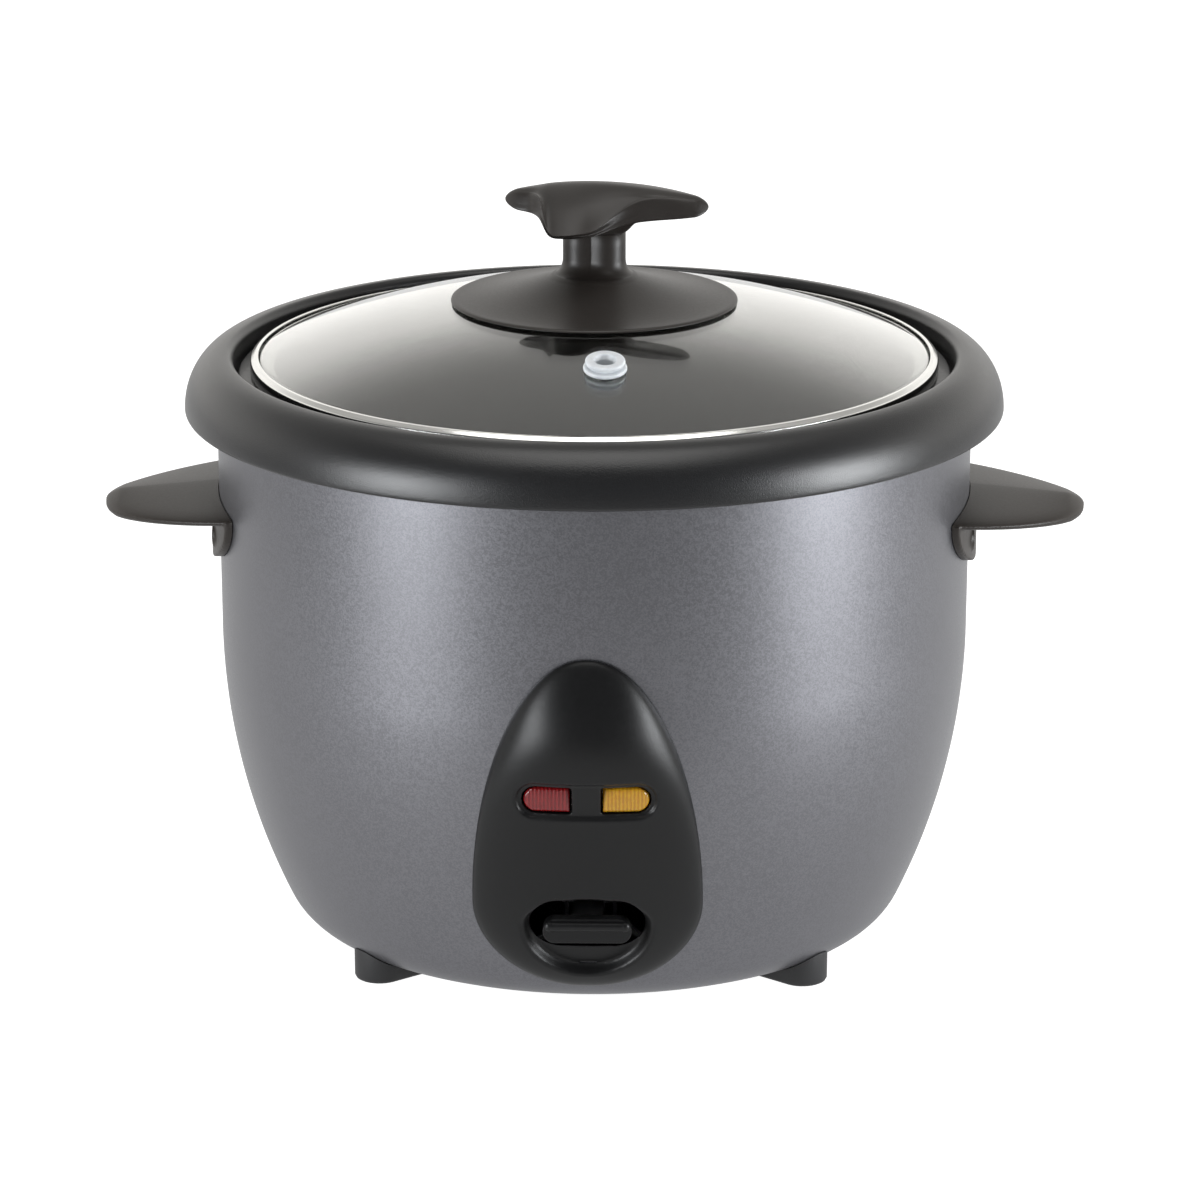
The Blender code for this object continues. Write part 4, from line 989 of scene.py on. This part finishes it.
def knob_section(x):
    """One slice across the wing, which lies askew; left of the stem a nose runs forwards and down."""
    share = (x - (KNOB_LEFT_X + KNOB_RIGHT_X) / 2) / ((KNOB_RIGHT_X - KNOB_LEFT_X) / 2)
    if x > KNOB_NOSE_X:
        nose = exp(-((x - KNOB_NOSE_X) / 14.5) ** 2)
    else:
        nose = exp(-((x - KNOB_NOSE_X) / 8.0) ** 4)
    drop = exp(-(max(x + 2.0, 0) / 12.5) ** 2 - (max(-8.0 - x, 0) / 8.0) ** 8)
    half = 3.2 + 4.3 * (1 - share ** 4)
    middle = -2.0 - 0.17 * x
    front = middle - half - 15.0 * nose
    back = middle + half + 2.5 * (1 - share ** 2)
    top = KNOB_TOP_Z - 3.4 * share ** 2
    crease = top - 1.8 + 0.6 * share ** 4 - 9.8 * drop
    flare = 1.6 * (1 - drop)
    lip = 2.0 + 5.4 * (1 - drop) - 4.3 * share ** 2
    under = top - 5.4 + 1.6 * share ** 4 - 9.8 * exp(-(x / 14) ** 6)
    low = min(under, crease - lip)
    return [
        (back, top - 2.8), (back - 1.2, top - 0.9), (middle + 0.5, top),
        ((middle + front) / 2, top - 0.5 - 0.3 * (top - crease)), (front + 0.9 + flare, crease + 0.9),
        (front + flare, crease), (front + 0.4 + 0.9 * drop, crease - 0.55 * lip),
        (front - 0.2 + 1.7 * drop, crease - lip), (middle - 0.6 * half, low),
        (middle + 0.5 * half, under), (back - 0.8, top - 4.6)]


def smooth_loop(points, steps):
    """A Catmull-Rom curve through a closed list of points."""
    places = [Vector(point) for point in points]
    count = len(places)
    loop = []
    for i in range(count):
        a, b, c, d = (places[(i + k) % count] for k in (-1, 0, 1, 2))
        for j in range(steps):
            t = j / steps
            loop.append(0.5 * (2 * b + (c - a) * t + (2 * a - 5 * b + 4 * c - d) * t * t
                               + (3 * b - a - 3 * c + d) * t ** 3))
    return loop


def make_knob():
    stations = 130
    length = KNOB_RIGHT_X - KNOB_LEFT_X
    rings = []
    for i in range(stations + 1):
        inward = length * (1 - cos(pi * (0.004 + 0.992 * i / stations))) / 2
        x = KNOB_LEFT_X + inward
        section = smooth_loop(knob_section(x), 9)
        centre = sum(section, Vector((0, 0))) / len(section)
        to_tip = min(inward, length - inward, KNOB_TIP)
        pinch = max(1 - (1 - to_tip / KNOB_TIP) ** 2, 0.0) ** 0.5
        rings.append([Vector((x, *(centre + (point - centre) * pinch))) * MM for point in section])
    knob = lofted("wing_knob", rings)
    seat = box((-14, -7.6, 215), (14, 7.6, STEM_TOP_Z + GAP), 3.0)
    seat.data.transform(Matrix.Rotation(STEM_TURN, 4, "Z"))
    cut(knob, seat)
    settle(knob, "lid", "knob_plastic", "lid_knob", sharp=50)


def make_washer():
    under = dome_z(0) - GLASS_T
    outline = rounded([(9, under - 0.5, 0.3), (9, under - 1.6, 0.4), (2.3, under - 1.6, 0.2),
                       (2.3, under - 0.5, 0.2)])
    settle(turned("knob_seal", outline, SMALL_STEPS), "lid", "silicone", "knob_washer")


# ---------- pot, liner and plate

def bolt_places():
    angles = (radians(a) for a in (60, 180, 300))
    return [(BOLT_CIRCLE_R * cos(a), BOLT_CIRCLE_R * sin(a)) for a in angles]


def make_pot():
    floor = POT_FLOOR_Z + POT_T
    shares = [i / 8 for i in range(1, 9)]
    inside = [(r, floor) for r in (0, 20, 40, 60)]
    inside += arc((81, POT_CORNER_Z), (20, POT_CORNER_Z - floor), -90, 0, 16)
    inside += [(101 + 1.4 * share, POT_CORNER_Z + 98.6 * share) for share in shares]
    inside += [(102.9, 184.8), (103.8, POT_TOP_Z)]
    lip = arc((POT_FLANGE_R - 0.6, POT_TOP_Z - 0.6), (0.6, 0.6), 90, -90, 6)
    flange = [(105.2, POT_TOP_Z - 1.3), (104.2, 183.4), (104, 182)]
    outside = [(104 - 1.4 * share, 182 - 98 * share) for share in shares]
    outside += arc((80.6, POT_CORNER_Z), (22, POT_CORNER_Z - POT_FLOOR_Z), 0, -90, 16)[1:]
    outside += [(60, POT_FLOOR_Z), (0, POT_FLOOR_Z)]
    settle(turned("cooking_pot", inside + lip + flange + outside), "pot", "pot_coating", "inner_pot")


def make_liner():
    outside = rounded([(119.2, LINER_FLANGE_Z, 0.3), (119.2, 178.8, 0.3), (107.6, 178.8, 0.8),
                       (107.0, 170, 0), (106.0, LINER_CORNER_Z, 0)])
    outside = outside[:-1] + arc((92, LINER_CORNER_Z), (14, 20), 0, -90, 16)
    hole = [(LINER_HOLE_R, LINER_FLOOR_Z), (LINER_HOLE_R, LINER_FLOOR_Z + 1)]
    inside = arc((92, LINER_CORNER_Z), (13, 19), -90, 0, 16) + [(106.0, 170), (106.6, LINER_FLANGE_Z)]
    liner = turned("steel_liner", outside + hole + inside)
    for x, y in bolt_places():
        cut(liner, rod(2.1, (x, y, 40), (x, y, 48), 24))
    settle(liner, "housing", "bare_steel", "inner_liner")


def make_plate():
    """The cast plate: a flat turned face, a bulge over its element and three legs."""
    outline = rounded([
        (PLATE_BORE_R, PLATE_TOP_Z, 0.6), (82, PLATE_TOP_Z, 1.2), (PLATE_R, 60, 1.5), (PLATE_R, 55, 1.0),
        (78, 54, 2.0), (66, 54, 2.0), (62, 50, 2.5), (54, 50, 2.5), (50, 54, 2.0), (28, 54, 1.0),
        (28, 47.6, 0.6), (PLATE_BORE_R, 47.6, 0.6)])
    plate = turned("hot_plate", outline)
    for x, y in bolt_places():
        join(plate, rod(4.5, (x, y, 45.4), (x, y, 56), 32))
        cut(plate, rod(2.0, (x, y, 40), (x, y, 53), 24))
    settle(plate, "housing", "cast_aluminium", "heating_plate")


def make_sensor_cap():
    outline = rounded([(0, PLATE_TOP_Z, 0), (CAP_R, PLATE_TOP_Z, 1.2), (CAP_R, 51, 0.3), (CAP_R - 1, 51, 0.2),
                       (CAP_R - 1, 60.4, 0.5), (0, 60.4, 0)])
    settle(turned("sensor_button", outline, 96), "sensor_cap", "cast_aluminium", "sensor_cap")


def coil(name, radius, low, high, turns, wire_r):
    """A close-ended spring as a round wire swept along its helix."""
    per_turn = 40
    around = 14
    count = turns * per_turn
    rings = []
    for i in range(count + 1):
        share = min(max((i / per_turn - 0.75) / (turns - 1.5), 0.0), 1.0)
        angle = 2 * pi * i / per_turn
        out = Vector((cos(angle), sin(angle), 0))
        centre = out * radius + Vector((0, 0, low + wire_r + (high - low - 2 * wire_r) * share))
        ring = []
        for j in range(around):
            turn = 2 * pi * j / around
            offset = out * wire_r * cos(turn) + Vector((0, 0, wire_r * sin(turn)))
            ring.append((centre + offset) * MM)
        rings.append(ring)
    return lofted(name, rings)


def make_springs():
    """The two springs stay with the housing."""
    for name, tag, joint, radius, low, high, turns, wire_r, held_z, travel in (
            ("cap_coil", "sensor_spring", "sensor_cap_press", 12.1, 47.7, 60.0, 4, 0.6, 47.7, CAP_TRAVEL),
            ("magnet_coil", "magnet_spring", "magnet_rise", 3.4, 22.0, 33.7, 5, 0.45, 33.7, MAGNET_TRAVEL)):
        spring = settle(coil(name, radius, low, high, turns, wire_r), "housing", "spring_steel", tag)
        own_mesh(spring)


# ---------- mains inlet

def make_inlet():
    """An oval bezel round a deep socket."""
    inlet = prism("inlet_bezel", arc((0, INLET_Z), (23, 15), 0, 355, 71), -130, -60, TO_FRONT)
    boolean(inlet, turned("keep_inlet", drum_side(INLET_PROUD) + drum_side(GAP)[::-1]), "INTERSECT")
    join(inlet, box((-15, 84, INLET_Z - 10), (15, 107.5, INLET_Z + 10)))
    socket = rounded([(-12, 25, 2.5), (12, 25, 2.5), (12, 39, 4), (-12, 39, 4)])
    cut(inlet, prism("cut_socket", socket, -130, -90, TO_FRONT))
    melt(inlet, 0.45, 3)
    for x in (-7, 0, 7):
        cut(inlet, rod(2.3, (x, 80, INLET_Z), (x, 95, INLET_Z), 24))
    settle(inlet, "housing", "inlet_plastic", "inlet_housing", sharp=60)


# ---------- CAD nodes that keep their mesh

KEPT_NODES = {
    "inner_ceramic": ("lamp_holder", "terminal_block"),
    "lamp_glass": ("cook_lamp", "warm_lamp"),
    "brass_parts": ("inlet_pin_1", "inlet_pin_2", "inlet_pin_3", "element_terminal_left",
                    "element_terminal_right"),
    "bare_steel": ("sensor_can", "switch_bracket", "pivot_pin", "lever_arm", "magnet_rod", "thermal_fuse"),
    "ferrite": ("thermal_ferrite", "magnet"),
    "inlet_plastic": ("microswitch",),
    "white_plastic": ("switch_plunger",),
    "mica_band": ("keep_warm_heater",),
    "live_sleeve": ("supply_lead_live",),
    "neutral_sleeve": ("supply_lead_neutral",),
}


def finish_kept_nodes():
    """Give the plain inner pieces their materials and soften their edges."""
    for slot, names in KEPT_NODES.items():
        for name in names:
            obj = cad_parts[name]
            for place in obj.material_slots:
                place.material = MATERIALS[slot]
            edge = obj.modifiers.new("Edges", "BEVEL")
            edge.width = 0.2 * MM
            edge.segments = 2
            edge.limit_method = "ANGLE"
            edge.angle_limit = radians(50)


# ---------- studio

def pale_floor(shader, place):
    """Pale floor that glows, which is painted light: full glow to the camera so that shadows stay faint,
    dimmer ahead and at the sides where the drum mirrors it, and no glow under the drum, a painted shadow.
    """
    grain = noise(place, 4.0, 3.0)
    x, y, _ = node("SeparateXYZ", {0: place}).outputs
    ahead = weighted(maths("ABSOLUTE", x), -0.6, y)
    # Painted light: the floor's glow as reflections and bounce light see it, dimmer ahead of the drum and to
    # its sides.
    painted_glow_in_reflections = spread(ahead, 0.1, 0.55, -0.62, -0.25, "SMOOTHSTEP")
    seen = place.id_data.nodes.new("ShaderNodeLightPath").outputs["Is Camera Ray"]
    from_axis = node("VectorMath", {0: place}, operation="LENGTH").outputs["Value"]
    # Painted shadow: the glow is taken away under the drum.
    outside_painted_shadow = spread(from_axis, 0.0, 1.0, 0.06, 0.075)
    dress(shader, Base_Color=shades(grain, (0.33, 0.33, 0.33), (0.36, 0.36, 0.36)), Roughness=0.7,
          Specular_IOR_Level=0.2, Emission_Color=(1, 1, 1, 1),
          Emission_Strength=maths("MULTIPLY", maths("MAXIMUM", painted_glow_in_reflections, seen), outside_painted_shadow))


def make_floor():
    solid = bmesh.new()
    bmesh.ops.create_circle(solid, cap_ends=True, segments=64, radius=FLOOR_R)
    floor = object_from("floor", solid)
    floor.data.materials.append(made("pale_floor", pale_floor))


def make_world():
    """A white room: brightest low behind the object, dimmer overhead and in front."""
    world = bpy.data.worlds.new("studio")
    bpy.context.scene.world = world
    world.use_nodes = True
    tree = world.node_tree
    direction = tree.nodes.new("ShaderNodeTexCoord").outputs["Generated"]
    parts = node("SeparateXYZ", {0: direction}).outputs
    back = spread(parts[1], 0.3, 0.7, -0.45, 0.35)
    room = tree.nodes["Background"].inputs
    feed(room["Color"], shades(back, (0.16, 0.165, 0.175), (1.23, 1.21, 1.17)))
    feed(room["Strength"], spread(parts[2], 1.0, 0.42, 0.32, 0.66, "SMOOTHSTEP"))


def bearing(azimuth, elevation):
    """A unit vector from the drum, its azimuth counted from the front."""
    return Vector((sin(azimuth) * cos(elevation), -cos(azimuth) * cos(elevation), sin(elevation)))


def add_soft_box(name, azimuth, elevation, distance, size, power, colour):
    """A rectangular light aimed at the drum's middle."""
    light = bpy.data.lights.new(name, "AREA")
    light.shape = "RECTANGLE"
    light.size, light.size_y = size
    light.energy = power
    light.color = colour
    obj = add_object(name, light)
    back = bearing(radians(azimuth), radians(elevation))
    obj.location = Vector((0, 0, 0.1)) + back * distance
    obj.rotation_euler = back.to_track_quat("Z", "Y").to_euler()


def make_lights():
    add_soft_box("soft_box_left", -51, 7.5, 1.0, SOFT_BOX_SIZE, 8.3, COOL_LIGHT)
    add_soft_box("soft_box_right", 69, 7.5, 1.0, SOFT_BOX_SIZE, 10.5, COOL_LIGHT)
    add_soft_box("soft_box_top", 0, 80, 1.8, (1.4, 1.4), 16, (1.0, 0.99, 0.97))


def make_camera():
    aim = Vector((CAMERA_AIM_RIGHT * cos(CAMERA_TURN), CAMERA_AIM_RIGHT * sin(CAMERA_TURN), CAMERA_AIM_Z))
    back = bearing(CAMERA_TURN, CAMERA_TILT)
    data = bpy.data.cameras.new("camera")
    data.lens = CAMERA_LENS
    data.sensor_width = 36.0
    data.clip_start = 0.05
    data.clip_end = 60.0
    camera = add_object("camera", data)
    camera.location = (aim + back * CAMERA_DISTANCE) * MM
    camera.rotation_euler = back.to_track_quat("Z", "Y").to_euler()
    bpy.context.scene.camera = camera


def main():
    make_drum()
    make_rim()
    make_base()
    make_feet()
    make_screws()
    make_handle("handle_left", -1)
    make_handle("handle_right", 1)
    make_panel()
    make_lenses()
    make_key()
    make_glass()
    make_lid_band()
    make_vent()
    make_knob_base()
    make_knob()
    make_washer()
    make_pot()
    make_liner()
    make_plate()
    make_sensor_cap()
    make_springs()
    make_inlet()
    finish_kept_nodes()
    make_floor()
    make_world()
    make_lights()
    make_camera()
    bpy.context.scene.view_settings.view_transform = "Standard"


main()
